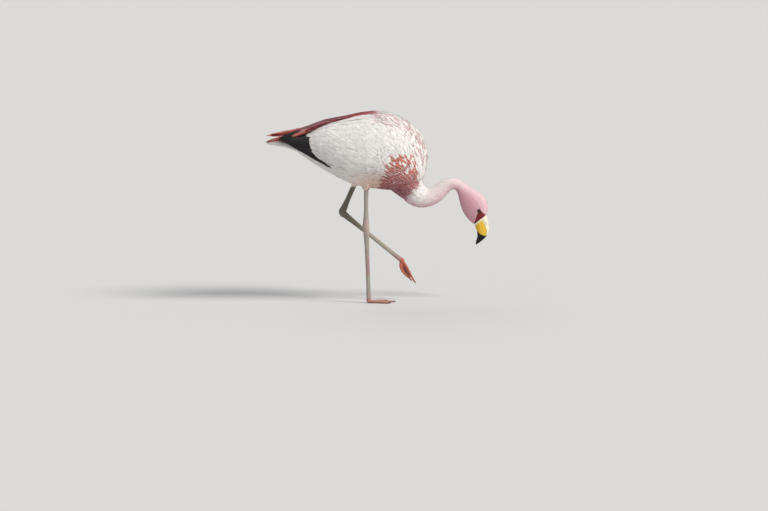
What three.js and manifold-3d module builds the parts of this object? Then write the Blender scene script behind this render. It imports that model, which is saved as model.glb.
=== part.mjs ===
/**
 * James's flamingo (Phoenicoparrus jamesi), life size, wading: one leg stands, the other swings
 * forward under the body with its foot hanging, and the neck dips so that the bill points down.
 *
 * Millimetres. +X is the way the bird faces, +Y its left, +Z up. The origin is on the sole of the
 * standing foot, under the joint of the toes.
 */
import * as THREE from 'three';
import Module from 'manifold-3d';

const wasm = await Module();
wasm.setup();

// ---------------------------------------------------------------- driving dimensions

const SEAM = 0.35; // gap left between two pieces that touch
const TARSUS = 212; // from ankle to toe joint, the same on both legs
const TOES = { inner: 52, middle: 68, outer: 61 }; // toe lengths without their claws
const TOE_RADIUS = 4; // at the root of a toe
const CLAW = 8.5; // length of a claw
const TOE_JOINT = 7.4; // radius of the joint that the toes spring from
const JOINT_HEIGHT = 6.9; // height of its middle over the sole, so that it rests on a small flat
const WEB = 1.7; // thickness of the web
const EYE = { radius: 4.6, x: 308.7, y: 15.4, z: 248.5 }; // an eyeball, and where it sits

/** Trunk, tail to breast: height of the back and of the belly, and half the width. */
const TRUNK = [
  { x: -200, back: 461, belly: 437, half: 12 },
  { x: -164, back: 480, belly: 407, half: 34 },
  { x: -109, back: 506, belly: 370, half: 57 },
  { x: -40, back: 522, belly: 332, half: 72 },
  { x: 28, back: 531, belly: 316, half: 78 },
  { x: 91, back: 518, belly: 311, half: 72 },
  { x: 135, back: 490, belly: 318, half: 55 },
  { x: 162, back: 456, belly: 345, half: 33 },
  { x: 173, back: 420, belly: 394, half: 9 },
];

/**
 * Neck and head, breast to bill. Each section is an ellipse round (x, z): depth is its long
 * diameter, which leans by tilt degrees from +X, half is half its width, and egg makes the end at
 * the nape and crown wider than the end at the throat.
 */
const NECK = [
  { x: 88, z: 391, depth: 112, tilt: 31, half: 46, egg: 0 },
  { x: 107, z: 339, depth: 100, tilt: 25, half: 41, egg: 0 },
  { x: 128, z: 308, depth: 73, tilt: 30, half: 32, egg: 0 },
  { x: 144, z: 292, depth: 65, tilt: 50, half: 27, egg: 0 },
  { x: 167, z: 286, depth: 54, tilt: 78, half: 23, egg: 0 },
  { x: 197, z: 299, depth: 47, tilt: 112, half: 20, egg: 0 },
  { x: 219, z: 318, depth: 38.5, tilt: 118, half: 17, egg: 0 },
  { x: 239, z: 324, depth: 31.5, tilt: 94, half: 15, egg: 0 },
  { x: 257, z: 315, depth: 34, tilt: 69, half: 15, egg: 0.05 },
  { x: 271, z: 295, depth: 48, tilt: 50, half: 17, egg: 0.12 },
  { x: 286, z: 277, depth: 65, tilt: 40, half: 19.5, egg: 0.2 },
  { x: 300, z: 257, depth: 73.5, tilt: 37, half: 20, egg: 0.22 },
  { x: 309, z: 238, depth: 63.5, tilt: 37, half: 17, egg: 0.16 },
  { x: 312.5, z: 222.5, depth: 44, tilt: 37, half: 12.8, egg: 0 },
];
const NECK_CUTS = { lower: 4.6, middle: 7.4, upper: 9.3 }; // where a length ends, in stations

/** Bill, root to tip, as sections like those of the neck. */
const BILL = [
  { x: 312.7, z: 222.15, depth: 41.6, tilt: 37, half: 12.4, egg: -0.12 },
  { x: 315.3, z: 209.4, depth: 38, tilt: 22, half: 11.4, egg: -0.2 },
  { x: 318, z: 196, depth: 35, tilt: 13, half: 10.4, egg: -0.26 },
  { x: 318, z: 184.5, depth: 32, tilt: 9, half: 9, egg: -0.22 },
  { x: 314.5, z: 174, depth: 25, tilt: 2, half: 7.2, egg: -0.1 },
  { x: 307, z: 164.5, depth: 15.5, tilt: -8, half: 4.6, egg: 0 },
  { x: 298.4, z: 154, depth: 3.4, tilt: -20, half: 1.3, egg: 0 },
];
/** Line between the two halves of the bill, seen from the side, from the root to past the tip. */
const GAPE = [
  [311.8, 229], [321.2, 214], [327.4, 198], [328.6, 187], [323.6, 177], [311.5, 165.5], [296.5, 152],
];

/**
 * Folded wing from its front edge to its rear, along the stations of the trunk: the angles up from
 * the side at its lower and upper edge, and how far it stands off the trunk.
 */
const WING = [
  { at: 5.96, low: 0, high: 20, off: 1.2 },
  { at: 5.7, low: -17, high: 36, off: 5 },
  { at: 5.2, low: -27, high: 48, off: 7.5 },
  { at: 4.2, low: -33, high: 56, off: 9 },
  { at: 3.1, low: -35, high: 60, off: 9 },
  { at: 2.1, low: -38, high: 62, off: 8 },
  { at: 1.35, low: -34, high: 60, off: 6 },
  { at: 0.8, low: 8, high: 54, off: 3 },
];

/** Tail, from inside the rump to its end. */
const TAIL = [
  { x: -140, top: 446, bottom: 402, half: 24 },
  { x: -178, top: 450, bottom: 419.5, half: 25 },
  { x: -205, top: 454, bottom: 432.5, half: 23 },
  { x: -232, top: 456.5, bottom: 441.5, half: 20 },
  { x: -257, top: 457.5, bottom: 447.5, half: 15 },
  { x: -269, top: 454.5, bottom: 450.5, half: 8 },
];

/** Black flight feathers of one folded wing, from under its lower edge to the wing tip. */
const QUILLS = [
  { x: -100, top: 392, bottom: 386, y: 54, half: 2 },
  { x: -129, top: 414, bottom: 397, y: 47, half: 3.2 },
  { x: -154, top: 458, bottom: 408, y: 38, half: 4 },
  { x: -178, top: 467, bottom: 429, y: 32, half: 4.4 },
  { x: -205, top: 465, bottom: 440.5, y: 28, half: 4.2 },
  { x: -232, top: 459, bottom: 449, y: 22, half: 3 },
  { x: -250, top: 456, bottom: 452.5, y: 16, half: 1.4 },
];

/** Red scapular plumes of one side, from the back to their tips; lift raises those of the left. */
const PLUMES = [
  { x: -30, z: 519, y: 16, half: 11, thick: 6, lift: 0 },
  { x: -109, z: 502, y: 20, half: 19, thick: 12, lift: 0 },
  { x: -163, z: 481, y: 20, half: 19, thick: 14, lift: 1 },
  { x: -218, z: 466, y: 15, half: 13, thick: 12, lift: 8 },
  { x: -252, z: 458, y: 11, half: 7, thick: 7, lift: 13 },
  { x: -269, z: 454, y: 9, half: 2.5, thick: 2.5, lift: 16 },
];

/** Legs. The hip is hidden in the body, and the ankle follows from the length of the tarsus. */
const STANDING = { hip: [2, -33, 346], ankleTowards: [-2, -21, 219], toeJoint: [0, 0, JOINT_HEIGHT] };
const RAISED = { hip: [-19, 38, 350], ankleTowards: [-68.5, 32, 250], toeJoint: [94, 28, 111.5] };
const SHANK_RADII = [8, 7, 6.5, 6.6, 7.6];
const TARSUS_RADII = [7.8, 6.8, 6, 5.6, 5.5, 5.7, 6.1];
const ANKLE = { deep: 10.8, wide: 9, long: 17 }; // half sizes of the joint
const THIGH = { top: 17.5, bottom: 8.6, length: 29 }; // radii of the feathered cone, and its length

/**
 * Feet: inward is the side of the inner toe, spread is the angle between the toes, droop turns the
 * whole foot down from level, and each toe's list says how far its bones point towards the sole.
 */
const FLAT_FOOT = { inward: 1, spread: 29, droop: 0, inner: [], middle: [], outer: [] };
const HANGING_FOOT = {
  inward: -1,
  spread: 13,
  droop: 62,
  inner: [52, 27, -3, -15],
  middle: [-16, -3, 3, 0],
  outer: [14, 12, 2, -5],
};

// ---------------------------------------------------------------- shapes

/** Value of key at a place t, in stations, on a smooth line through the stations. */
function along(stations, key, t) {
  const last = stations.length - 1;
  const i = Math.min(Math.floor(t), last - 1);
  const u = t - i;
  const value = (k) => stations[THREE.MathUtils.clamp(k, 0, last)][key];
  const [a, b, c, d] = [value(i - 1), value(i), value(i + 1), value(i + 2)];
  const m0 = i === 0 ? c - b : (c - a) / 2;
  const m1 = i === last - 1 ? c - b : (d - b) / 2;
  return b + u * (m0 + u * (3 * (c - b) - 2 * m0 - m1 + u * (m0 + m1 - 2 * (c - b))));
}

/** Values of some keys, given as words in one string, at a place t on a line of stations. */
function section(stations, keys, t) {
  return keys.split(' ').map((key) => along(stations, key, t));
}

/** Places from a to b, both included, about step apart. */
function places(a, b, step) {
  const n = Math.max(1, Math.round(Math.abs(b - a) / step));
  return Array.from({ length: n + 1 }, (_, i) => a + ((b - a) * i) / n);
}

/** Closed body through rings of points, with a fan over each end. */
function loft(rings) {
  const sides = rings[0].length;
  const centre = (ring) => ring.reduce((s, p) => s.add(p), new THREE.Vector3()).divideScalar(sides);
  const points = [...rings.flat(), centre(rings[0]), centre(rings.at(-1))];
  const [head, tail] = [points.length - 2, points.length - 1];
  const faces = [];
  for (let k = 0; k < sides; k += 1) {
    const n = (k + 1) % sides;
    for (let r = 0; r < rings.length - 1; r += 1) {
      const [a, b] = [r * sides + k, r * sides + n];
      faces.push([a, b, b + sides], [a, b + sides, a + sides]);
    }
    const end = (rings.length - 1) * sides;
    faces.push([head, n, k], [tail, end + k, end + n]);
  }
  return shell(points, faces);
}

/** Solid with these points and faces, turned so that its faces point out. */
function shell(points, faces) {
  const volume = faces.reduce((sum, [a, b, c]) => {
    return sum + points[a].dot(new THREE.Vector3().crossVectors(points[b], points[c]));
  }, 0);
  const outward = volume > 0 ? faces : faces.map(([a, b, c]) => [a, c, b]);
  return new wasm.Manifold(new wasm.Mesh({
    numProp: 3,
    vertProperties: new Float32Array(points.flatMap((p) => p.toArray())),
    triVerts: new Uint32Array(outward.flat()),
  }));
}

/** Largest piece of a solid, without the crumbs that a cut can leave. */
function largest(solid) {
  return solid.decompose().sort((a, b) => b.volume() - a.volume())[0];
}

/** Solid without these others. */
function without(solid, ...others) {
  return largest(others.reduce((rest, other) => rest.subtract(other), solid));
}

/** Solid joined with these others. */
function joined(solid, ...others) {
  return others.reduce((sum, other) => sum.add(other), solid);
}

/** Solid of one of the geometry classes, with its shared points merged by place. */
function solidOf(geometry) {
  const at = geometry.getAttribute('position');
  const seen = new Map();
  const points = [];
  const vertex = Array.from({ length: at.count }, (_, i) => {
    const p = new THREE.Vector3().fromBufferAttribute(at, i);
    const key = p.toArray().map((v) => Math.round(v * 1e4)).join();
    if (!seen.has(key)) {
      seen.set(key, points.length);
      points.push(p);
    }
    return seen.get(key);
  });
  const index = geometry.index ? Array.from(geometry.index.array) : at.array.keys();
  const corners = Array.from(index).slice(0, geometry.index ? undefined : at.count).map((i) => vertex[i]);
  const faces = [];
  for (let i = 0; i < corners.length; i += 3) {
    const face = corners.slice(i, i + 3);
    if (new Set(face).size === 3) faces.push(face);
  }
  return shell(points, faces);
}

/** Ellipse section in a plane that holds Y, at a place on a line of stations like NECK. */
function leaningRing(stations, t, sides, grow = 0) {
  const [x, z, depth, tilt, half, egg] = section(stations, 'x z depth tilt half egg', t);
  const lean = THREE.MathUtils.degToRad(tilt);
  return Array.from({ length: sides }, (_, k) => {
    const a = (2 * Math.PI * k) / sides;
    const up = Math.sin(a) * (depth / 2 + grow);
    const out = Math.cos(a) * (half + grow) * (1 + egg * Math.sin(a));
    return new THREE.Vector3(x + up * Math.cos(lean), out, z + up * Math.sin(lean));
  });
}

/** Upright rounded section between a top and a bottom height, half wide, its middle at y. */
function uprightRing(x, top, bottom, half, sides, y = 0, square = 1) {
  const soft = (v) => Math.sign(v) * Math.abs(v) ** square;
  return Array.from({ length: sides }, (_, k) => {
    const a = (2 * Math.PI * k) / sides;
    const z = (top + bottom) / 2 + (soft(Math.sin(a)) * (top - bottom)) / 2;
    return new THREE.Vector3(x, y + soft(Math.cos(a)) * half, z);
  });
}

/** Round limb along points, with radii spread evenly over it; flat makes it narrower along Y. */
function limb(points, radii, sides, flat = 1) {
  const curve = new THREE.CatmullRomCurve3(points);
  const stations = radii.map((radius) => ({ radius }));
  const rings = places(0, 1, 1 / (radii.length - 1)).map((t) => {
    const centre = curve.getPointAt(t);
    const forward = curve.getTangentAt(t);
    const across = new THREE.Vector3(0, 1, 0).cross(forward).normalize();
    const side = forward.clone().cross(across);
    const r = along(stations, 'radius', t * (radii.length - 1));
    return Array.from({ length: sides }, (_, k) => {
      const a = (2 * Math.PI * k) / sides;
      return centre.clone()
        .addScaledVector(across, r * Math.cos(a))
        .addScaledVector(side, flat * r * Math.sin(a));
    });
  });
  return loft(rings);
}

/** Thin closed slab over a grid of points, half its thickness to each side. */
function slab(grid, thickness) {
  const [rows, columns] = [grid.length, grid[0].length];
  const at = (r, c) => grid[THREE.MathUtils.clamp(r, 0, rows - 1)][THREE.MathUtils.clamp(c, 0, columns - 1)];
  const offset = (r, c, by) => {
    const u = at(r + 1, c).clone().sub(at(r - 1, c));
    const v = at(r, c + 1).clone().sub(at(r, c - 1));
    return at(r, c).clone().addScaledVector(u.cross(v).normalize(), by);
  };
  const rings = grid.map((row, r) => [
    ...row.map((_, c) => offset(r, c, thickness / 2)),
    ...row.map((_, c) => offset(r, columns - 1 - c, -thickness / 2)),
  ]);
  return loft(rings);
}

// ---------------------------------------------------------------- trunk, neck and head

/** Point of the trunk's surface at a station and an angle up from its side, moved out by grow. */
function trunkPoint(t, angle, grow) {
  const [back, belly, half] = section(TRUNK, 'back belly half', t);
  const boxy = 0.92;
  const soft = (v) => Math.sign(v) * Math.abs(v) ** boxy;
  const y = soft(Math.cos(angle)) * (half + grow);
  const z = (back + belly) / 2 + soft(Math.sin(angle)) * ((back - belly) / 2 + grow);
  return new THREE.Vector3(along(TRUNK, 'x', t), y, z);
}

function makeTrunk(grow = 0) {
  const sides = 22;
  const last = TRUNK.length - 1;
  const rings = places(0, last, 0.5).map((t) => Array.from({ length: sides }, (_, k) => {
    return trunkPoint(t, (2 * Math.PI * k) / sides, grow);
  }));
  rings[0].forEach((p) => p.setX(p.x - grow));
  rings.at(-1).forEach((p) => p.setX(p.x + grow));
  return loft(rings);
}

function neckLength(from, to, grow = 0) {
  const sides = 16;
  return loft(places(from, to, 0.5).map((t) => leaningRing(NECK, t, sides, grow)));
}

function makeEye(side, grow = 0) {
  const sphere = new THREE.SphereGeometry(EYE.radius + grow, 10, 8);
  sphere.rotateX(Math.PI / 2);
  sphere.translate(EYE.x, side * EYE.y, EYE.z);
  return solidOf(sphere);
}

/** Everything on the culmen's side of the gape, moved back along X by shift. */
function culmenSide(shift) {
  const outline = new THREE.Shape();
  const line = GAPE.map(([x, z]) => new THREE.Vector2(x - shift, z));
  const beyond = { front: 380, top: 250, bottom: 130 };
  outline.moveTo(line[0].x, line[0].y);
  outline.splineThru(line.slice(1));
  outline.lineTo(line.at(-1).x, beyond.bottom);
  outline.lineTo(beyond.front, beyond.bottom);
  outline.lineTo(beyond.front, beyond.top);
  outline.lineTo(line[0].x, beyond.top);
  const width = 60;
  const block = new THREE.ExtrudeGeometry(outline, { depth: width, bevelEnabled: false, curveSegments: 2 });
  block.rotateX(Math.PI / 2);
  block.translate(0, width / 2, 0);
  return solidOf(block);
}

function makeBill() {
  const whole = loft(places(0, BILL.length - 1, 0.5).map((t) => leaningRing(BILL, t, 14)));
  return {
    bill_upper: largest(whole.intersect(culmenSide(0))),
    bill_lower: without(whole, culmenSide(SEAM * 1.4)),
  };
}

// ---------------------------------------------------------------- wings, plumes and tail

/** Folded wing: a shell over the side of the trunk, thin at its edges. */
function makeWing(side, grow = 0) {
  const columns = 9;
  const sunk = -7; // how far its inside would lie under the trunk's surface
  const edge = 1; // how far its edges stand off the trunk
  const rings = places(0, WING.length - 1, 0.7).map((s) => {
    const [t, low, high, off] = section(WING, 'at low high off', s);
    const [first, last] = [low - grow * 2, high + grow * 2].map(THREE.MathUtils.degToRad);
    const angles = places(first, last, (last - first) / columns);
    const outer = angles.map((angle, k) => {
      const across = Math.sin((Math.PI * (k + 0.15)) / (columns + 0.3)) ** 0.5;
      return trunkPoint(t, angle, edge + (off - edge) * across + grow);
    });
    const inner = angles.map((angle) => trunkPoint(t, angle, sunk)).reverse();
    return [...outer, ...inner].map((p) => p.setY(side * p.y));
  });
  rings[0].forEach((p) => p.setX(p.x + grow));
  rings.at(-1).forEach((p) => p.setX(p.x - grow));
  return loft(rings);
}

function makeTail(grow = 0) {
  return loft(places(0, TAIL.length - 1, 0.5).map((t) => {
    const [x, top, bottom, half] = section(TAIL, 'x top bottom half', t);
    return uprightRing(x, top + grow, bottom - grow, half + grow, 12, 0, 0.75);
  }));
}

function makeQuills(side, grow = 0) {
  return loft(places(0, QUILLS.length - 1, 0.5).map((t) => {
    const [x, top, bottom, y, half] = section(QUILLS, 'x top bottom y half', t);
    return uprightRing(x, top + grow, bottom - grow, half + grow, 10, side * y, 0.8);
  }));
}

/** Plumes of one side; those of the left lie higher at their tips. */
function makePlumes(side, grow = 0) {
  const lifted = side > 0 ? 1 : 0;
  return loft(places(0, PLUMES.length - 1, 0.5).map((t) => {
    const [x, z, y, half, thick, lift] = section(PLUMES, 'x z y half thick lift', t);
    const middle = z + lifted * lift;
    const [top, bottom] = [middle + thick / 2 + grow, middle - thick / 2 - grow];
    return uprightRing(x, top, bottom, half + grow, 10, side * y, 0.85);
  }));
}

// ---------------------------------------------------------------- legs and feet

/** Path of a toe in the foot's own frame: +X forward, +Z up, the sole at 0, under the joint. */
function toePath(angle, length, bends) {
  const knuckles = [0, 0.12, 0.42, 0.7, 1];
  const heading = THREE.MathUtils.degToRad(angle);
  const points = [new THREE.Vector3(0, 0, TOE_JOINT * 0.8)];
  for (let i = 1; i < knuckles.length; i += 1) {
    const reach = (knuckles[i] - knuckles[i - 1]) * length;
    const down = THREE.MathUtils.degToRad(bends[i - 1] ?? 0);
    const level = TOE_RADIUS * (1 - 0.35 * knuckles[i]);
    const ahead = reach * Math.cos(down);
    const step = [ahead * Math.cos(heading), ahead * Math.sin(heading), -reach * Math.sin(down)];
    const next = points.at(-1).clone().add(new THREE.Vector3(...step));
    if (bends.length === 0) next.setZ(level);
    points.push(next);
  }
  return points;
}

/** Foot of three webbed toes with no hind toe, as this kind has, in its own frame. */
function makeFoot({ inward, spread, inner, middle, outer }) {
  const plan = {
    inner: toePath(inward * spread, TOES.inner, inner),
    middle: toePath(0, TOES.middle, middle),
    outer: toePath(-inward * spread * 0.95, TOES.outer, outer),
  };
  const radii = [1.25, 1.02, 1.06, 0.82, 0.9, 0.72, 0.74, 0.62].map((share) => share * TOE_RADIUS);
  const toes = Object.values(plan).map((path) => limb(path, radii, 7));
  const joint = new THREE.SphereGeometry(TOE_JOINT, 10, 7);
  joint.translate(0, 0, JOINT_HEIGHT);
  const web = (a, b) => {
    const [first, second] = [a, b].map((path) => new THREE.CatmullRomCurve3(path));
    return slab(places(0.03, 1, 0.25).map((share) => places(0, 1, 0.34).map((across) => {
      const reach = share * (0.84 - 0.2 * Math.sin(Math.PI * across));
      const point = first.getPointAt(reach).lerp(second.getPointAt(reach), across);
      return point.setZ(point.z - TOE_RADIUS * 0.35);
    })), WEB);
  };
  const webs = [web(plan.inner, plan.middle), web(plan.middle, plan.outer)];
  const foot = joined(solidOf(joint), ...toes, ...webs);
  const claws = Object.fromEntries(Object.entries(plan).map(([name, path]) => {
    const [before, end] = path.slice(-2);
    const way = end.clone().sub(before).normalize();
    const root = end.clone().addScaledVector(way, SEAM);
    const tip = root.clone().addScaledVector(way, CLAW);
    const halfway = root.clone().lerp(tip, 0.5).add(new THREE.Vector3(0, 0, 0.5));
    const clawRadii = [0.58, 0.46, 0.16].map((share) => share * TOE_RADIUS);
    return [name, limb([root, halfway, tip], clawRadii, 6)];
  }));
  return { foot, claws };
}

/** Block that fills everything under the floor. */
function ground() {
  const [wide, deep] = [400, 40];
  const block = new THREE.BoxGeometry(wide, wide, deep);
  block.translate(0, 0, -deep / 2);
  return solidOf(block);
}

/** One leg with its foot and claws, as named solids. */
function makeLeg({ hip, ankleTowards, toeJoint }, name, footShape) {
  const place = new THREE.Matrix4().makeTranslation(...toeJoint)
    .multiply(new THREE.Matrix4().makeRotationY(THREE.MathUtils.degToRad(footShape.droop)))
    .multiply(new THREE.Matrix4().makeTranslation(0, 0, -JOINT_HEIGHT));
  const [top, towards, toes] = [hip, ankleTowards, toeJoint].map((p) => new THREE.Vector3(...p));
  const ankle = towards.clone().sub(toes).setLength(TARSUS).add(toes);
  const knob = (grow) => {
    const ball = new THREE.SphereGeometry(1, 12, 8);
    ball.scale(ANKLE.deep + grow, ANKLE.wide + grow, ANKLE.long + grow);
    const upward = top.clone().sub(ankle).normalize();
    const axis = upward.sub(toes.clone().sub(ankle).normalize()).normalize();
    ball.applyQuaternion(new THREE.Quaternion().setFromUnitVectors(new THREE.Vector3(0, 0, 1), axis));
    ball.translate(...ankle);
    return solidOf(ball);
  };
  const down = ankle.clone().sub(top).normalize();
  const cone = (grow) => {
    const end = top.clone().addScaledVector(down, THIGH.length + grow);
    const radii = [THIGH.top, THIGH.top * 0.85, THIGH.bottom].map((radius) => radius + grow);
    return limb([top, top.clone().lerp(end, 0.5), end], radii, 14);
  };
  const shank = limb([top, top.clone().lerp(ankle, 0.5), ankle], SHANK_RADII, 12, 0.9);
  const end = ankle.clone().lerp(toes, 1 - (TOE_JOINT * 0.6) / TARSUS);
  const tarsus = limb([ankle, ankle.clone().lerp(end, 0.5), end], TARSUS_RADII, 12, 0.9);
  const { foot, claws } = makeFoot(footShape);
  const placedFoot = without(foot.transform(place.elements), ground());
  const joint = new THREE.SphereGeometry(TOE_JOINT + SEAM, 12, 8).translate(...toes);
  const parts = {
    [`thigh_${name}`]: without(cone(0), makeTrunk(SEAM)),
    [`shank_${name}`]: without(shank, cone(SEAM), knob(SEAM), makeTrunk(SEAM)),
    [`ankle_${name}`]: knob(0),
    [`tarsus_${name}`]: without(tarsus, knob(SEAM), solidOf(joint)),
    [`foot_${name}`]: placedFoot,
  };
  Object.entries(claws).forEach(([toe, claw]) => {
    parts[`claw_${name}_${toe}`] = without(claw.transform(place.elements), ground());
  });
  return parts;
}

// ---------------------------------------------------------------- the bird

const trunkSpace = makeTrunk(SEAM);
const gap = 0.013; // SEAM in stations of the neck
const wholeHead = neckLength(NECK_CUTS.upper + gap, NECK.length - 1);
const solids = {
  head: without(wholeHead, makeEye(1, SEAM), makeEye(-1, SEAM)),
  neck_upper: neckLength(NECK_CUTS.middle + gap, NECK_CUTS.upper),
  neck_middle: neckLength(NECK_CUTS.lower + gap, NECK_CUTS.middle),
  neck_lower: without(neckLength(0.6, NECK_CUTS.lower), trunkSpace),
  trunk: makeTrunk(),
  tail: without(makeTail(), trunkSpace, makeWing(1, SEAM), makeWing(-1, SEAM)),
  eye_right: makeEye(-1),
  eye_left: makeEye(1),
  ...makeBill(),
};
/** Thin upright slab between the two sides of the back. */
const middleGap = solidOf(new THREE.BoxGeometry(600, SEAM, 400).translate(-150, 0, 480));
for (const [name, side] of [['right', -1], ['left', 1]]) {
  const tracts = [trunkSpace, makeWing(side, SEAM), makeTail(SEAM)];
  const neck = neckLength(0.6, NECK_CUTS.lower, SEAM);
  solids[`wing_${name}`] = without(makeWing(side), trunkSpace, neck);
  solids[`quills_${name}`] = without(makeQuills(side), ...tracts);
  solids[`plumes_${name}`] = without(makePlumes(side), middleGap, ...tracts, makeQuills(side, SEAM));
}
Object.assign(solids, makeLeg(STANDING, 'right', FLAT_FOOT));
Object.assign(solids, makeLeg(RAISED, 'left', HANGING_FOOT));

const colours = {
  head: 0xe6b3b3, neck: 0xefd9d6, trunk: 0xf2ece9, tail: 0xf1ebe6, wing: 0xf1eeec, quills: 0x14100f,
  plumes: 0xa6343a, eye: 0x140808, bill: 0xe9b93c, thigh: 0xefe2da, shank: 0x9b9580, ankle: 0xa98a80,
  tarsus: 0xa59c86, foot: 0xcf6a4f, claw: 0x2a2320,
};
const roughness = { eye: 0.1, bill: 0.4, claw: 0.5, foot: 0.6, tarsus: 0.6, ankle: 0.6, shank: 0.6 };

/** Mesh of a solid, with the colour of its kind. */
function meshOf(name, solid) {
  const { vertProperties, triVerts, numProp } = solid.getMesh();
  const count = vertProperties.length / numProp;
  const position = new Float32Array(count * 3);
  for (let i = 0; i < count; i += 1) {
    position.set(vertProperties.subarray(i * numProp, i * numProp + 3), i * 3);
  }
  const geometry = new THREE.BufferGeometry();
  geometry.setAttribute('position', new THREE.BufferAttribute(position, 3));
  geometry.setIndex(new THREE.BufferAttribute(new Uint32Array(triVerts), 1));
  const kind = name.split('_')[0];
  const material = new THREE.MeshStandardMaterial({
    color: colours[kind],
    roughness: roughness[kind] ?? 0.85,
    metalness: 0,
  });
  const mesh = new THREE.Mesh(geometry, material);
  mesh.name = name;
  return mesh;
}

const flamingo = new THREE.Group();
flamingo.add(...Object.entries(solids).map(([name, solid]) => meshOf(name, solid)));

export default flamingo;
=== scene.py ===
"""Looks for a life-size still model of a James's flamingo that wades on one leg.

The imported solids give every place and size. One skin is laid under them, feathers are grown over
the skin along the lie of the plumage, and the bill, eyes, claws and legs get their own fine shapes.
Everything is in metres: +X is the way the bird faces, +Y its left, +Z up.
"""

import logging
import math
from dataclasses import dataclass, field
from enum import Enum
from functools import partial
from typing import Callable, Iterable, Sequence

import bpy
import numpy as np
from mathutils import Matrix, Vector, kdtree
from mathutils.bvhtree import BVHTree


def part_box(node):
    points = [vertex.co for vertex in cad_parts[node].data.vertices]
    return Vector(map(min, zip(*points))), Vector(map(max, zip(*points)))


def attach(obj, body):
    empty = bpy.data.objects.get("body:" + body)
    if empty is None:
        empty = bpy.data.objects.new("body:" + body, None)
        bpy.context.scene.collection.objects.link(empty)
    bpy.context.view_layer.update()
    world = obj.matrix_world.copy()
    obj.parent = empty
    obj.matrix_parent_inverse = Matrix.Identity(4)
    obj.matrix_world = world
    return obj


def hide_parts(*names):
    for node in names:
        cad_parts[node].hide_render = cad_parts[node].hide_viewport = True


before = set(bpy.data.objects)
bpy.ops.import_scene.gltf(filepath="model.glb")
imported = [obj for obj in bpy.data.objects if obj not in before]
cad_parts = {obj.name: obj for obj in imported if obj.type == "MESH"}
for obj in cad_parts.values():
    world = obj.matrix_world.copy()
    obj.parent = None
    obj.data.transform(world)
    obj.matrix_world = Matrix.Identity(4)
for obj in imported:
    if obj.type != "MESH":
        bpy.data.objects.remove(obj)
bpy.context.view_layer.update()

LOG = logging.getLogger("flamingo")
Array = np.ndarray
Colour = tuple[float, float, float]
Spot = tuple[float, float]
Outline = tuple[Spot, ...]
Shape = tuple[Array, Array]
Field = Callable[[Array], Array]
Chance = np.random.Generator
Thing = bpy.types.Object
Mesh = bpy.types.Mesh
Material = bpy.types.Material
Socket = bpy.types.NodeSocket
BODY = "root"
MM = 0.001
SIDES = {"right": -1.0, "left": 1.0}
BAKE_MAP = "OFBake"
VANE_MAP = "Vane"
SCALES = "scales"
TINT = "tint"
TUFT_PATCH = 0.003
SCATTER_TRIES = 4.0
Y_AXIS = np.array([0.0, 1.0, 0.0])


# --- numbers and meshes


def unit(vectors: Array) -> Array:
    """Vectors scaled to length one; the last axis holds x, y and z."""
    return vectors / np.maximum(np.linalg.norm(vectors, axis=-1, keepdims=True), 1e-12)


def apart(points: Array, place: Array) -> Array:
    """Distance of each point from a place."""
    return np.linalg.norm(points - place, axis=1)


def dot(a: Array, b: Array) -> Array:
    """Dot product over the last axis, which is kept."""
    return np.sum(a * b, axis=-1, keepdims=True)


def smooth(value: Array, low: float, high: float) -> Array:
    """Soft step from 0 where a value is low to 1 where it is high, which may be the smaller one."""
    t = np.clip((value - low) / (high - low), 0.0, 1.0)
    return t * t * (3.0 - 2.0 * t)


def mix(a: Array, b: Array, share: Array) -> Array:
    """Blend of two colours, the first where a row's share is 0 and the second where it is 1."""
    s = np.asarray(share)[..., None]
    return np.asarray(a) * (1.0 - s) + np.asarray(b) * s


def ripple(points: Array, size: float, seed: float = 0.0) -> Array:
    """Soft noise between about -1 and 1 from a few crossing waves.

    Args:
        points: Places, one in each row.
        size: Length of the longest wave, in metres.
        seed: Shifts the waves.

    Returns:
        One number for each place.
    """
    total = np.zeros(len(points))
    for i in range(5):
        turns = math.sin(3.1 * i + seed), math.cos(1.7 * i + seed), math.sin(2.3 * i + 1.0 + seed)
        waves = points @ unit(np.array(turns)) * (2 * math.pi / size) * (1 + 0.37 * i)
        total += np.sin(waves + 1.9 * i + seed * 5.0)
    return total / 3.0


def new_mesh(name: str, verts: Array, loops: Array, sizes: Array) -> Mesh:
    """Mesh from flat arrays.

    Args:
        name: Its name.
        verts: Vertex places, one in each row.
        loops: Vertex of each face corner, face after face.
        sizes: Number of corners of each face.

    Returns:
        The mesh, shaded smooth.
    """
    mesh = bpy.data.meshes.new(name)
    mesh.vertices.add(len(verts))
    mesh.vertices.foreach_set("co", np.asarray(verts, dtype=np.float32).ravel())
    mesh.loops.add(len(loops))
    mesh.loops.foreach_set("vertex_index", np.asarray(loops, dtype=np.int32))
    mesh.polygons.add(len(sizes))
    starts = np.concatenate([[0], np.cumsum(sizes)[:-1]]).astype(np.int32)
    mesh.polygons.foreach_set("loop_start", starts)
    mesh.update(calc_edges=True)
    mesh.shade_smooth()
    return mesh


def mesh_arrays(mesh: Mesh) -> Shape:
    """Vertex places of a mesh, and the three vertices of each triangle."""
    verts = np.empty(len(mesh.vertices) * 3, dtype=np.float32)
    mesh.vertices.foreach_get("co", verts)
    mesh.calc_loop_triangles()
    tris = np.empty(len(mesh.loop_triangles) * 3, dtype=np.int32)
    mesh.loop_triangles.foreach_get("vertices", tris)
    return verts.reshape(-1, 3).astype(float), tris.reshape(-1, 3)


def mesh_normals(mesh: Mesh) -> Array:
    """Outward normal at each vertex of a mesh."""
    normals = np.empty(len(mesh.vertices) * 3, dtype=np.float32)
    mesh.vertices.foreach_get("normal", normals)
    return normals.reshape(-1, 3)


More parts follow.
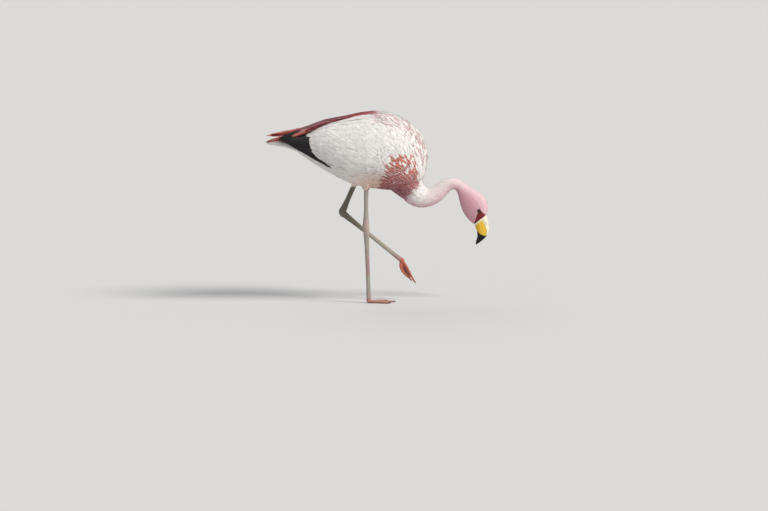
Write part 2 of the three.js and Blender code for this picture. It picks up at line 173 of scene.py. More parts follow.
def node_arrays(*nodes: str) -> Shape:
    """Vertices and triangles of some CAD nodes, with doubled vertices merged.

    Args:
        nodes: Names of the nodes.

    Returns:
        Vertex places and the three vertices of each triangle.
    """
    all_verts, all_tris, start = [], [], 0
    for node in nodes:
        verts, tris = mesh_arrays(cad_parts[node].data)
        _, first, inverse = np.unique(np.round(verts, 6), axis=0, return_index=True, return_inverse=True)
        all_verts.append(verts[first])
        all_tris.append(inverse.reshape(-1)[tris] + start)
        start += len(first)
    return np.vstack(all_verts), np.vstack(all_tris)


def add_object(name: str, mesh: Mesh) -> Thing:
    """Object of a mesh, at the origin, in the scene."""
    thing = bpy.data.objects.new(name, mesh)
    bpy.context.scene.collection.objects.link(thing)
    return thing


def add_shape(name: str, verts: Array, tris: Array) -> Thing:
    """Object of vertices and triangles, at the origin, in the scene."""
    return add_object(name, new_mesh(name, verts, tris.ravel(), np.full(len(tris), 3)))


def applied(thing: Thing) -> Thing:
    """Turns an object's modifiers into a plain mesh.

    Args:
        thing: Object whose modifiers are live.

    Returns:
        The same object, with the result as its mesh and no modifiers.
    """
    graph = bpy.context.evaluated_depsgraph_get()
    graph.update()
    result = bpy.data.meshes.new_from_object(thing.evaluated_get(graph))
    thing.modifiers.clear()
    thing.data = result
    return thing


def remeshed(name: str, verts: Array, tris: Array, voxel: float, rounds: int) -> Thing:
    """One even closed mesh over some closed shapes that touch or overlap.

    Args:
        name: Name of the result.
        verts: Vertex places of the shapes.
        tris: Their triangles.
        voxel: Size of the new faces.
        rounds: How often the result is smoothed.

    Returns:
        Object with a plain mesh.
    """
    thing = add_shape(name, verts, tris)
    remesh = thing.modifiers.new("remesh", "REMESH")
    remesh.mode = "VOXEL"
    remesh.voxel_size = voxel
    remesh.use_smooth_shade = True
    soften = thing.modifiers.new("soften", "SMOOTH")
    soften.factor = 0.5
    soften.iterations = rounds
    return applied(thing)


def set_colours(mesh: Mesh, name: str, colours: Array) -> None:
    """Stores a colour for each vertex.

    Args:
        mesh: Mesh that gets the attribute.
        name: Name of the attribute.
        colours: Linear red, green and blue, one row for each vertex.
    """
    attribute = mesh.color_attributes.new(name, "FLOAT_COLOR", "POINT")
    rgba = np.ones((len(colours), 4), dtype=np.float32)
    rgba[:, :3] = np.clip(colours, 0.0, 1.0)
    attribute.data.foreach_set("color", rgba.ravel())


def set_share(mesh: Mesh, name: str, values: Array) -> None:
    """Stores a number for each vertex."""
    attribute = mesh.attributes.new(name, "FLOAT", "POINT")
    attribute.data.foreach_set("value", np.asarray(values, dtype=np.float32))


def set_map(mesh: Mesh, name: str, uv: Array) -> None:
    """Stores a UV map, one pair for each face corner."""
    layer = mesh.uv_layers.new(name=name)
    layer.uv.foreach_set("vector", np.asarray(uv, dtype=np.float32).ravel())


def finish_piece(thing: Thing, material: Material) -> Thing:
    """Gives a piece its material, and lets it ride on the bird.

    Args:
        thing: The piece.
        material: Its only material.

    Returns:
        The same piece.
    """
    thing.data.materials.clear()
    thing.data.materials.append(material)
    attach(thing, BODY)
    LOG.info("%s: %d faces", thing.name, len(thing.data.polygons))
    return thing


def search_tree(places: Array) -> kdtree.KDTree:
    """Tree that finds the nearest of some places."""
    tree = kdtree.KDTree(len(places))
    for index, place in enumerate(places.tolist()):
        tree.insert(place, index)
    tree.balance()
    return tree


class Surface:
    """A closed surface that can be asked for its nearest places and soft normals."""

    def __init__(self, verts: Array, tris: Array) -> None:
        """Keeps the shape and its search tree."""
        self.verts, self.tris = verts, tris
        self.tree = BVHTree.FromPolygons(verts.tolist(), tris.tolist())
        corners = verts[tris]
        faces = np.cross(corners[:, 1] - corners[:, 0], corners[:, 2] - corners[:, 0])
        self.areas = np.linalg.norm(faces, axis=1) / 2.0
        normals = np.zeros_like(verts)
        for k in range(3):
            np.add.at(normals, tris[:, k], faces)
        self.normals = unit(normals)

    @classmethod
    def of_nodes(cls, *nodes: str) -> "Surface":
        """Surface of some CAD nodes."""
        return cls(*node_arrays(*nodes))

    @classmethod
    def evened(cls, voxel: float, rounds: int, *nodes: str) -> "Surface":
        """Smooth surface of even faces round some CAD nodes."""
        thing = remeshed("form", *node_arrays(*nodes), voxel, rounds)
        surface = cls(*mesh_arrays(thing.data))
        bpy.data.objects.remove(thing)
        return surface

    def nearest(self, points: Array) -> tuple[Array, Array, Array]:
        """Nearest places on the surface.

        Args:
            points: Places, one in each row.

        Returns:
            The nearest places, the soft normals there, and the distances.
        """
        found = [self.tree.find_nearest(p) for p in points.tolist()]
        places, faces, distances = (np.array([f[k] for f in found]) for k in (0, 2, 3))
        corners = self.verts[self.tris[faces]]
        weights = np.empty((len(points), 3))
        for k in range(3):
            a, b = corners[:, (k + 1) % 3] - places, corners[:, (k + 2) % 3] - places
            weights[:, k] = np.linalg.norm(np.cross(a, b), axis=1)
        weights /= np.maximum(weights.sum(axis=1, keepdims=True), 1e-18)
        normals = unit(np.einsum("nk,nkd->nd", weights, self.normals[self.tris[faces]]))
        return places, normals, distances

    def distance(self, points: Array) -> Array:
        """Distance of each place from the surface."""
        return np.array([self.tree.find_nearest(p)[3] for p in points.tolist()])

    def seen(self, x: float, z: float, sign: float) -> Vector | None:
        """Place met first on a level line from one side of the bird, if there is one."""
        return self.tree.ray_cast(Vector((x, sign * 0.2, z)), Vector((0.0, -sign, 0.0)))[0]

    def scatter(self, spacing: Field, smallest: float, rng: Chance, way: Field, stretch: float) -> Array:
        """Places spread evenly over the surface, about a spacing apart.

        Args:
            spacing: Gives the distance wanted at each place; 0 leaves a place bare.
            smallest: Smallest spacing that it gives.
            rng: Source of chance.
            way: Gives the way along which the places are farther apart.
            stretch: How many times farther.

        Returns:
            The places, one in each row.
        """
        count = int(self.areas.sum() / smallest**2 * SCATTER_TRIES)
        faces = rng.choice(len(self.tris), size=count, p=self.areas / self.areas.sum())
        u, v = rng.random(count), rng.random(count)
        flip = u + v > 1.0
        u[flip], v[flip] = 1.0 - u[flip], 1.0 - v[flip]
        a, b, c = (self.verts[self.tris[faces, k]] for k in range(3))
        points = a + (b - a) * u[:, None] + (c - a) * v[:, None]
        gaps = spacing(points)
        keep = (gaps > 0) & (rng.random(count) < (smallest / np.maximum(gaps, smallest)) ** 2)
        points, gaps = points[keep], gaps[keep]
        tree = search_tree(points)
        alive = np.ones(len(points), dtype=bool)
        ways, chosen = way(points), []
        for i, (p, gap) in enumerate(zip(points.tolist(), gaps.tolist())):
            if alive[i]:
                chosen.append(i)
                near = np.array([hit[1] for hit in tree.find_range(p, gap * stretch)])
                off = points[near] - points[i]
                ahead = off @ ways[i]
                beside = (off * off).sum(axis=1) - ahead**2
                alive[near[beside + (ahead / stretch) ** 2 < gap**2]] = False
                alive[i] = False
        return points[chosen]


# --- the bird's own coordinates


def seam(node_a: str, node_b: str) -> Array:
    """Middle of the seam between two CAD nodes that touch."""
    verts, _ = node_arrays(node_a)
    distance = Surface.of_nodes(node_b).distance(verts)
    return verts[distance < distance.min() + 1.5 * MM].mean(axis=0)


def middle(node: str) -> Array:
    """Middle of a CAD node's box."""
    low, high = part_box(node)
    return (np.array(low) + np.array(high)) / 2.0


def creases(verts: Array, tris: Array, angle: float, step: float) -> Array:
    """Places along the sharp edges of a solid.

    Args:
        verts: Its vertex places.
        tris: Its triangles.
        angle: Least angle between the faces at a sharp edge.
        step: Distance between the places.

    Returns:
        The places.
    """
    a, b, c = (verts[tris[:, k]] for k in range(3))
    faces = unit(np.cross(b - a, c - a))
    pairs = np.sort(np.concatenate([tris[:, [0, 1]], tris[:, [1, 2]], tris[:, [2, 0]]]), axis=1)
    order = np.lexsort(pairs.T)
    pairs, owner = pairs[order], np.tile(np.arange(len(tris)), 3)[order]
    twin = np.flatnonzero((pairs[1:] == pairs[:-1]).all(axis=1))
    bent = dot(faces[owner[twin]], faces[owner[twin + 1]])[:, 0] < math.cos(angle)
    found = []
    for start, end in verts[pairs[twin[bent]]]:
        count = max(2, int(np.linalg.norm(end - start) / step) + 1)
        found.append(start + (end - start) * np.linspace(0.0, 1.0, count)[:, None])
    return np.concatenate(found)


def measured(line: Array) -> Array:
    """Length of a broken line up to each of its corners."""
    return np.concatenate([[0.0], np.cumsum(np.linalg.norm(np.diff(line, axis=0), axis=1))])


def spline(points: Array, count: int) -> Array:
    """Even places on a smooth line through some points.

    Args:
        points: The points, one in each row.
        count: How many places are wanted.

    Returns:
        The places, evenly spaced along the line.
    """
    padded = np.vstack([2 * points[0] - points[1], points, 2 * points[-1] - points[-2]])
    fine = []
    for i in range(1, len(padded) - 2):
        a, b, c, d = padded[i - 1 : i + 3]
        t = np.linspace(0.0, 1.0, 24, endpoint=False)[:, None]
        square, cube = 2 * a - 5 * b + 4 * c - d, 3 * b - a - 3 * c + d
        fine.append(0.5 * (2 * b + (c - a) * t + square * t**2 + cube * t**3))
    line = np.vstack(fine + [padded[-2][None]])
    reach = measured(line)
    wanted = np.linspace(0.0, reach[-1], count)
    return np.column_stack([np.interp(wanted, reach, line[:, k]) for k in range(3)])


class Axis:
    """Line from the bill's root through the neck into the breast, and on to the tail."""

    STEPS = 160

    def __init__(self) -> None:
        """Finds the line from the seams between the solids."""
        crown = seam("head", "bill_lower")
        breast = seam("neck_lower", "trunk")
        nape = seam("neck_upper", "head")
        bends = [seam("neck_middle", "neck_upper"), seam("neck_lower", "neck_middle")]
        head_middle = crown * 0.5 + nape * 0.5 + np.array([6 * MM, 0.0, -2 * MM])
        hang = bends[1] * 0.5 + breast * 0.5 + np.array([10 * MM, 0.0, -30 * MM])
        self.neck = spline(np.array([crown, head_middle, nape, bends[0], bends[1], hang, breast]), self.STEPS)
        self.neck[:, 1] = 0.0
        self.source = self.neck[int(self.STEPS * 0.86)]
        self.rump = np.array([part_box("tail")[0][0] + 40 * MM, 0.0, middle("tail")[2] + 6 * MM])

    def _step(self, points: Array) -> Array:
        """Number of the nearest step of the neck's line, for each place."""
        square = (self.neck**2).sum(axis=1)[None] - 2.0 * points @ self.neck.T
        return square.argmin(axis=1)

    def along_neck(self, points: Array) -> Array:
        """Share of the way from the bill's root to the breast at the nearest part of the neck."""
        return self._step(points) / (self.STEPS - 1.0)

    def neck_way(self, points: Array) -> Array:
        """Direction from the bill towards the breast at the nearest part of the neck."""
        return unit(np.gradient(self.neck, axis=0))[self._step(points)]

    def body_share(self, points: Array) -> Array:
        """How much a place belongs to the body, 0 on the neck and 1 on the trunk."""
        return smooth(self.along_neck(points), 0.80, 1.0)

    def lie(self, points: Array) -> Array:
        """Unit vector of the way that feathers lie at each place, before it is laid into the surface."""
        away, home = points - self.source, self.rump - points
        flow = away / np.maximum(dot(away, away), 1e-6) + home / np.maximum(dot(home, home), 4e-4)
        share = self.body_share(points)[:, None]
        return unit(self.neck_way(points) * (1.0 - share) + unit(flow) * share)

    def unwrap(self, points: Array) -> Array:
        """Place of each point on a flat unwrap of the bird: along its axis, and round it.

        Args:
            points: Places, one in each row.

        Returns:
            Two numbers between 0 and 1 for each place.
        """
        share = self.body_share(points)
        along = self.along_neck(points)
        way = self.neck_way(points)
        across = points - self.neck[self._step(points)]
        up = np.cross(way, Y_AXIS)
        round_neck = np.arctan2(dot(across, up)[:, 0], across[:, 1])
        spine = np.array([0.5 * (self.source[0] + self.rump[0]), 0.0, middle("trunk")[2]])
        round_body = np.arctan2(points[:, 2] - spine[2], points[:, 1])
        turn = np.where(share > 0.5, round_body, round_neck)
        ahead = (self.source[0] - points[:, 0]) / (self.source[0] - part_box("tail")[0][0])
        u = np.where(share > 0.5, 0.45 + 0.5 * np.clip(ahead + 0.12, 0.0, 1.0), 0.02 + 0.4 * along)
        return np.column_stack([u, 0.02 + 0.96 * (turn / (2 * math.pi) + 0.5)])


# --- markings


@dataclass(frozen=True)
class Tones:
    """Colours of the plumage and skin, and of the shade painted on them, as linear red, green and blue."""

    white: Colour = (0.83, 0.80, 0.775)
    cream: Colour = (0.80, 0.66, 0.56)
    blush: Colour = (0.79, 0.54, 0.58)
    rose: Colour = (0.70, 0.37, 0.43)
    # Painted shade mixed with the neck's own dark pink, laid along its underside.
    shaded_mauve: Colour = (0.38, 0.115, 0.175)
    crimson: Colour = (0.33, 0.030, 0.040)
    scarlet: Colour = (0.50, 0.070, 0.045)
    maroon: Colour = (0.12, 0.014, 0.020)
    peach: Colour = (0.74, 0.46, 0.34)
    black: Colour = (0.012, 0.010, 0.011)
    # Painted shade, not a colour of down feathers: the grey laid on the underside of the rear body.
    down: Colour = (0.66, 0.62, 0.60)
    face: Colour = (0.19, 0.013, 0.018)
    lid: Colour = (0.035, 0.010, 0.012)
    mud: Colour = (0.40, 0.37, 0.30)
    shin: Colour = (0.44, 0.25, 0.27)
    # Dark muddy green deepened by painted shade, for the raised leg under the body.
    shaded_olive: Colour = (0.17, 0.155, 0.115)
    heel: Colour = (0.52, 0.40, 0.36)
    foot: Colour = (0.50, 0.135, 0.080)
    dusky_foot: Colour = (0.47, 0.195, 0.155)
    # Painted shade for the folded webs between the toes.
    web_shade: Colour = (0.10, 0.020, 0.016)


def within(place: Array, corners: Sequence[Spot]) -> Array:
    """How far places lie inside a convex outline, in metres; it is negative outside.

    Args:
        place: Places seen from the side, x and z in each row.
        corners: Corners of the outline, one after another.
    """
    ring = np.array(corners)
    centre = ring.mean(axis=0)
    depth = np.full(len(place), np.inf)
    for a, b in zip(ring, np.roll(ring, -1, axis=0)):
        side = unit(np.array([a[1] - b[1], b[0] - a[0]]))
        side = side * np.sign(np.dot(side, centre - a))
        depth = np.minimum(depth, (place - a) @ side)
    return depth


def enclosed(place: Array, corners: Sequence[Spot]) -> Array:
    """True for places inside any closed outline; its arguments are those of within."""
    ring = np.array(corners)
    inside = np.zeros(len(place), dtype=bool)
    for a, b in zip(ring, np.roll(ring, -1, axis=0)):
        spans = (a[1] > place[:, 1]) != (b[1] > place[:, 1])
        rise = b[1] - a[1] if b[1] != a[1] else 1e-9
        inside ^= spans & (place[:, 0] < (b[0] - a[0]) * (place[:, 1] - a[1]) / rise + a[0])
    return inside


@dataclass
class Markings:
    """Where each colour lies on the bird, the same for the skin and for what grows on it.

    Outlines are seen from the side, x and z in metres.
    """

    axis: Axis
    tones: Tones = field(default_factory=Tones)
    breast: Outline = (
        *((0.060, 0.424), (0.134, 0.428), (0.158, 0.336)),
        *((0.113, 0.275), (0.016, 0.290), (0.026, 0.340)),
    )
    belly: float = 0.020
    eye: Spot = (0.3088, 0.2530)
    face_front: Spot = (0.3290, 0.2330)
    face_back: Spot = (0.2960, 0.2160)
    band_half: float = 0.026
    dark_low: Outline = (
        *((-0.108, 0.392), (-0.142, 0.410), (-0.178, 0.429)),
        *((-0.207, 0.443), (-0.226, 0.452), (-0.237, 0.4565)),
    )
    dark_front: Outline = ((-0.168, 0.478), (-0.156, 0.462), (-0.149, 0.427))

    def wedge_front(self, share: Array) -> Array:
        """Places at shares of the way up the front edge of the black flight feathers."""
        return along_line((self.dark_low[0], *self.dark_front[::-1]), share)

    def dark(self, points: Array) -> Array:
        """True where the black flight feathers show, on the sides of the bird."""
        outline = (*self.dark_low, (-0.226, 0.463), (-0.199, 0.470), *self.dark_front)
        return enclosed(points[:, [0, 2]], outline) & (np.abs(points[:, 1]) > 0.012)

    def breast_share(self, points: Array) -> Array:
        """How strongly the breast is streaked at each place."""
        depth = within(points[:, [0, 2]], self.breast)
        return smooth(depth + 0.004 * ripple(points, 0.05, 2.0), -0.004, 0.022)

    def mantle_share(self, points: Array, normals: Array) -> Array:
        """How strongly the shoulders and mantle are streaked, in a band round the wing's front.

        Args:
            points: Places, one in each row.
            normals: Outward normals there.

        Returns:
            Share between 0 and 1.
        """
        away = np.hypot(normals[:, 0], normals[:, 2])
        ring = smooth(away, 0.58, 0.72) * smooth(away, 1.0, 0.95)
        facing = smooth(normals[:, 0] * 0.6 + normals[:, 2] * 0.8, 0.15, 0.35)
        x, _, z = points.T
        return ring * facing * (smooth(x, 0.0, 0.03) * smooth(z, 0.375, 0.40))

    def back_share(self, points: Array, normals: Array) -> Array:
        """How red the middle of the back is, from the mantle to the rump."""
        band = smooth(np.abs(points[:, 1]), self.band_half + 0.004, self.band_half - 0.005)
        return band * smooth(normals[:, 2], 0.5, 0.7) * smooth(points[:, 0], 0.045, 0.015)

    def plumage(self, points: Array, normals: Array) -> Array:
        """Ground colour of the plumage, with painted shade under the neck and under the rear of the body.

        Args:
            points: Places, one in each row.
            normals: Outward normals there.

        Returns:
            Linear colours.
        """
        t = self.tones
        share = self.axis.body_share(points)
        along = self.axis.along_neck(points)
        up = np.cross(Y_AXIS, self.axis.neck_way(points))
        dorsal = dot(normals, up)[:, 0]
        soft = 0.03 * ripple(points, 0.04, 1.0)
        patchy = soft + 0.05 * ripple(points, 0.011, 5.0)
        # The neck is paler pink on top and darker rose below, partly its own colour and partly painted light
        # and shade; the darkest tone along its very underside is painted shade.
        neck = mix(t.rose, t.blush, smooth(dorsal + patchy, -0.25, 0.60))
        neck = mix(neck, t.shaded_mauve, 0.8 * smooth(dorsal + patchy, -0.62, -1.0))
        pale = mix(t.white, t.blush, 0.30 + 0.55 * smooth(dorsal + patchy, 0.5, -0.6))
        neck = mix(neck, pale, smooth(along + soft, 0.30, 0.52))
        neck = mix(neck, t.white, smooth(along + soft, 0.62, 0.88) * smooth(dorsal, -0.9, -0.2))
        throat = smooth(dorsal + 2.0 * soft, -0.25, -0.95) * smooth(along, 0.55, 0.85)
        neck = mix(neck, t.rose, 0.8 * throat)
        body = np.broadcast_to(np.array(t.white), points.shape)
        x, _, z = points.T
        low = smooth(z, 0.395, 0.325) * smooth(z, 0.45, 0.38)
        body = mix(body, t.peach, 0.75 * low * smooth(np.abs(x - self.belly), 0.085, 0.01))
        # Painted shade: the rear of the body turns grey where it faces down.
        body = mix(body, t.down, 0.6 * (smooth(x, 0.0, -0.14) * smooth(normals[:, 2], 0.3, -0.4)))
        throat = self.breast_share(points) * smooth(z, 0.362, 0.305)
        body = mix(body, mix(t.rose, t.crimson, 0.3), 0.85 * throat)
        body = mix(body, t.crimson, self.back_share(points, normals))
        body = np.where(self.dark(points)[:, None], np.array(t.black), body)
        return mix(neck, body, share)

    def red(self, points: Array, normals: Array, rng: Chance) -> tuple[Array, Array]:
        """Red of each feather: its colour, and how strongly the streak down its middle shows.

        Args:
            points: Tips of the feathers.
            normals: Outward normals there.
            rng: Source of chance.

        Returns:
            Linear colours, and shares between 0 and 1.
        """
        t = self.tones
        breast = self.breast_share(points)
        mantle = self.mantle_share(points, normals)
        back = self.back_share(points, normals)
        low = smooth(points[:, 2] + 0.25 * points[:, 0], 0.410, 0.355) * (breast > 0.05)
        lowest = smooth(points[:, 2], 0.342, 0.312) * (breast > 0.05)
        colour = mix(mix(t.scarlet, t.crimson, low), t.maroon, 0.75 * lowest)
        soft = mix(t.crimson, t.rose, 0.12)
        colour = mix(colour, soft, smooth(mantle, 0.2, 0.6) * (breast < 0.3))
        colour = mix(colour, t.crimson, back)
        colour = colour * (1.0 + 0.18 * rng.standard_normal((len(points), 1)).clip(-2, 2))
        chance = rng.random(len(points))
        streaked = (chance < (0.76 + 0.5 * low) * breast) | (chance < 0.55 * mantle)
        share = np.where(streaked, 0.97, 0.0)
        return colour, np.maximum(share, back)

    def skin(self, points: Array, normals: Array) -> Array:
        """Colour of the skin: the plumage's where feathers cover it, its own where it is bare.

        Args:
            points: Places, one in each row.
            normals: Outward normals there.

        Returns:
            Linear colours.
        """
        t = self.tones
        colour = mix(self.plumage(points, normals), t.face, self.in_face(points, 1.4 * MM))
        for side in SIDES:
            ring = smooth(apart(points, middle(f"eye_{side}")), 7.5 * MM, 4.6 * MM)
            colour = mix(colour, t.lid, 0.9 * ring)
        bare = self.leg_share(points)
        return mix(colour, self.legs(points), bare)

    def leg_share(self, points: Array) -> Array:
        """1 on the bare legs and feet, 0 on the body."""
        x, _, z = points.T
        return smooth(z, 0.322, 0.316) * np.where(z > 0.2, smooth(x, 0.06, 0.05), 1.0)

    def legs(self, points: Array) -> Array:
        """Colour of the bare legs and feet, with painted shade on the raised leg."""
        t = self.tones
        patches = ripple(points, 0.055, 3.0)
        low = smooth(np.abs(points[:, 2] - 0.105), 0.034, 0.014)
        colour = mix(t.mud, t.shin, np.maximum(0.6 * smooth(patches, 0.1, 1.0), 0.8 * low))
        for side in SIDES:
            joint, ankle = Leg(side).joint, Leg(side).ankle
            near_joint = smooth(apart(points, ankle), 0.032, 0.008)
            if side == "left":
                # Painted shade: the raised leg darkens where it lies in the body's shadow, over its own muddy
                # colour.
                shaded = smooth(points[:, 0], 0.012, -0.030) * smooth(points[:, 1], 0.004, 0.012)
                colour = mix(colour, t.shaded_olive, shaded)
            else:
                colour = mix(colour, t.heel, 0.8 * near_joint)
            foot = smooth(apart(points, joint), 0.012, 0.006)
            beyond = smooth((points - joint) @ unit(ankle - joint), 0.004, -0.002)
            reach = smooth(apart(points, joint), 0.10, 0.085)
            tone = t.foot if side == "left" else t.dusky_foot
            colour = mix(colour, tone, np.maximum(foot, beyond) * reach)
        return colour

    def in_face(self, points: Array, margin: float = 0.0) -> Array:
        """1 on the bare skin between eye and bill, and for a margin under the feathers at its edge."""
        beyond = (self.face_back[0] + 0.006, self.face_back[1] - 0.020)
        corners = (self.eye, self.face_front, (self.face_front[0] + 0.006, 0.210), beyond, self.face_back)
        return smooth(within(points[:, [0, 2]], corners) + margin, -0.0012, 0.0008)


# --- vanes


@dataclass(frozen=True)
class VaneShape:
    """Outline and section of one kind of feather, as shares of its length and half width."""

    stations: tuple[float, ...] = (0.0, 0.22, 0.5, 0.76, 0.93, 1.0)
    widths: tuple[float, ...] = (0.28, 0.72, 1.0, 0.88, 0.48, 0.0)
    columns: int = 5
    camber: float = 0.018
    ridge: float = 0.032

    def across(self) -> Array:
        """Places of the lengthwise rows, from the left edge at 1 to the right edge at -1."""
        return np.linspace(1.0, -1.0, self.columns)


class Vane(Enum):
    """Kinds of feather, each with its outline and section."""

    ROUND = VaneShape()
    BLADE = VaneShape((0.0, 0.25, 0.55, 0.8, 0.94, 1.0), (0.35, 0.8, 1.0, 0.78, 0.38, 0.0))
    LANCE = VaneShape(
        (0.0, 0.15, 0.4, 0.65, 0.85, 1.0), (0.35, 0.8, 1.0, 0.8, 0.42, 0.0), 5, 0.10, 0.08
    )
    SMALL = VaneShape((0.0, 0.4, 0.75, 1.0), (0.45, 1.0, 0.7, 0.0), 3, 0.05, 0.08)
    QUILL = VaneShape(
        (0.0, 0.1, 0.25, 0.4, 0.55, 0.7, 0.82, 0.91, 0.97, 1.0),
        (0.45, 0.75, 0.95, 1.0, 1.0, 0.95, 0.83, 0.62, 0.34, 0.0),
        *(7, 0.08, 0.05),
    )


@dataclass
class Batch:
    """Many feathers of one shape, as paths with a width, and the colours that they carry."""

    kind: Vane
    path: Array
    normal: Array
    half: Array
    base: Array
    tip: Array
    streak: Array | None = None
    streak_share: float | Array = 0.0
    streak_width: float | Array = 0.55
    dome: float = 0.22
    ragged: float = 0.05
    roll: float = 0.02

    def mesh(self, name: str, unwrap: Array, patch: float = TUFT_PATCH) -> Mesh:
        """Closed vanes joined in one mesh, with their colours and maps.

        Args:
            name: Name of the mesh.
            unwrap: Place of each feather's root on the unwrap of the skin.
            patch: Size of a feather there.

        Returns:
            The mesh.
        """
        shape = self.kind.value
        count, rings = self.path.shape[:2]
        columns = shape.columns
        across = shape.across()
        way = unit(np.gradient(self.path, axis=1))
        side = unit(np.cross(self.normal, way))
        up = np.cross(way, side)
        width = self.half[:, None] * np.array(shape.widths)[None, :rings]
        profile = shape.ridge * (1.0 - np.abs(across)) - shape.camber * across**2 + self.roll * across
        uneven = np.random.default_rng(count).standard_normal((count, rings - 1, columns))
        torn = 1.0 + self.ragged * uneven.clip(-2, 2)
        verts = (
            self.path[:, :-1, None]
            + side[:, :-1, None] * (width[:, :-1, None] * across[None, None] * torn)[..., None]
            + up[:, :-1, None] * (width[:, :-1, None] * profile[None, None])[..., None]
        )
        verts = np.concatenate([verts.reshape(count, -1, 3), self.path[:, -1:]], axis=1)
        slope = smooth(np.array(shape.stations), 0.7, 1.0) * 0.7 * self.dome
        soft = (
            self.normal[:, :-1, None]
            + side[:, :-1, None] * (self.dome * across)[None, None, :, None]
            + way[:, :-1, None] * slope[None, :-1, None, None]
        )
        soft_tip = self.normal[:, -1:] + way[:, -1:] * slope[-1]
        soft = np.concatenate([soft.reshape(count, -1, 3), soft_tip], axis=1)
        per_vane = (rings - 1) * columns + 1
        loops, sizes, flat, under = self._template(rings, columns)
        offsets = np.arange(count)[:, None] * per_vane
        mesh = new_mesh(name, verts.reshape(-1, 3), (loops[None] + offsets).ravel(), np.tile(sizes, count))
        crisp = mesh.attributes.new("sharp_face", "BOOLEAN", "FACE")
        crisp.data.foreach_set("value", np.tile(under, count))
        normals = mesh.attributes.new("custom_normal", "FLOAT_VECTOR", "POINT")
        normals.data.foreach_set("vector", unit(soft).astype(np.float32).ravel())
        set_colours(mesh, TINT, self._tints(rings, columns, across).reshape(-1, 3))
        local = flat[loops]
        root = np.repeat(unwrap, len(loops), axis=0)
        set_map(mesh, BAKE_MAP, root + (np.tile(local, (count, 1)) - 0.5) * patch)
        set_map(mesh, VANE_MAP, np.tile(local, (count, 1)))
        return mesh

    def _template(self, rings: int, columns: int) -> tuple[Array, Array, Array, Array]:
        """Faces of one vane, the flat place of each of its vertices, and which faces lie under it."""
        faces: list[list[int]] = []
        under: list[bool] = []
        for r in range(rings - 2):
            a, b = r * columns, (r + 1) * columns
            for c in range(columns - 1):
                faces.append([a + c, a + c + 1, b + c + 1, b + c])
                under.append(False)
            faces.append([a + columns - 1, a, b, b + columns - 1])
            under.append(True)
        last, tip = (rings - 2) * columns, (rings - 1) * columns
        for c in range(columns - 1):
            faces.append([last + c, last + c + 1, tip])
            under.append(False)
        faces.append([last + columns - 1, last, tip])
        faces.append([0] + list(range(columns - 1, 0, -1)))
        under += [True, True]
        stations = np.array(self.kind.value.stations)[:rings]
        across = 0.5 - 0.5 * self.kind.value.across()
        flat = np.array([(u, v) for v in stations[:-1] for u in across] + [(0.5, 1.0)])
        return np.concatenate(faces), np.array([len(f) for f in faces]), flat, np.array(under)

    def _tints(self, rings: int, columns: int, across: Array) -> Array:
        """Colour of each vertex: base to tip, with the streak down the middle."""
        count = len(self.path)
        stations = np.array(self.kind.value.stations)[:rings]
        along = stations[None, :, None]
        ground = self.base[:, None] * (1.0 - along) + self.tip[:, None] * along
        window = smooth(stations, 0.12, 0.4) * smooth(stations, 1.12, 0.92)
        wide = np.broadcast_to(self.streak_width, (count,))[:, None]
        inside = smooth(np.abs(across)[None], wide + 0.22, wide - 0.22)
        streak = self.tip if self.streak is None else self.streak
        strength = np.broadcast_to(self.streak_share, (count,))
        share = strength[:, None, None] * window[None, :, None] * inside[:, None]
        colour = mix(ground[:, :, None], streak[:, None, None], share)
        tips = mix(ground[:, -1], streak, strength * window[-1])
        return np.concatenate([colour[:, :-1].reshape(count, -1, 3), tips[:, None]], axis=1)


def laid(
    surface: Surface, lie: Field, roots: Array, length: Array, stations: Sequence[float], sway: Array
) -> tuple[Array, Array]:
    """Paths over a surface along the lie of the plumage.

    Args:
        surface: What the feathers lie on.
        lie: Gives the way that feathers point at each place.
        roots: Where they start.
        length: Length of each.
        stations: Places along a feather, from 0 to 1.
        sway: Angle by which each turns off the lie.

    Returns:
        The path of each feather and the normals along it.
    """
    place, normal, _ = surface.nearest(roots)
    paths, normals = [place], [normal]
    for before, now in zip(stations[:-1], stations[1:]):
        way = lie(place)
        way = unit(way - normal * dot(way, normal))
        way = way * np.cos(sway)[:, None] + np.cross(normal, way) * np.sin(sway)[:, None]
        place, normal, _ = surface.nearest(place + way * (length * (now - before))[:, None])
        paths.append(place)
        normals.append(normal)
    return np.stack(paths, axis=1), np.stack(normals, axis=1)


def sunk(
    path: Array, normal: Array, stations: Sequence[float], depth: Array, lift: Array, power: float = 2.4
) -> Array:
    """Moves paths so that the root lies deep in the coat and the tip lies on top of it.

    Args:
        path: Paths on the coat's outside.
        normal: Normals along them.
        stations: Places along a feather, from 0 to 1.
        depth: Depth of each root.
        lift: Height of each tip.
        power: How soon the feathers come up to the surface.

    Returns:
        The moved paths.
    """
    s = np.array(stations)[None]
    height = -depth[:, None] * (1.0 - s) ** power + lift[:, None] * s**2
    return path + normal * height[..., None]


# --- finishes


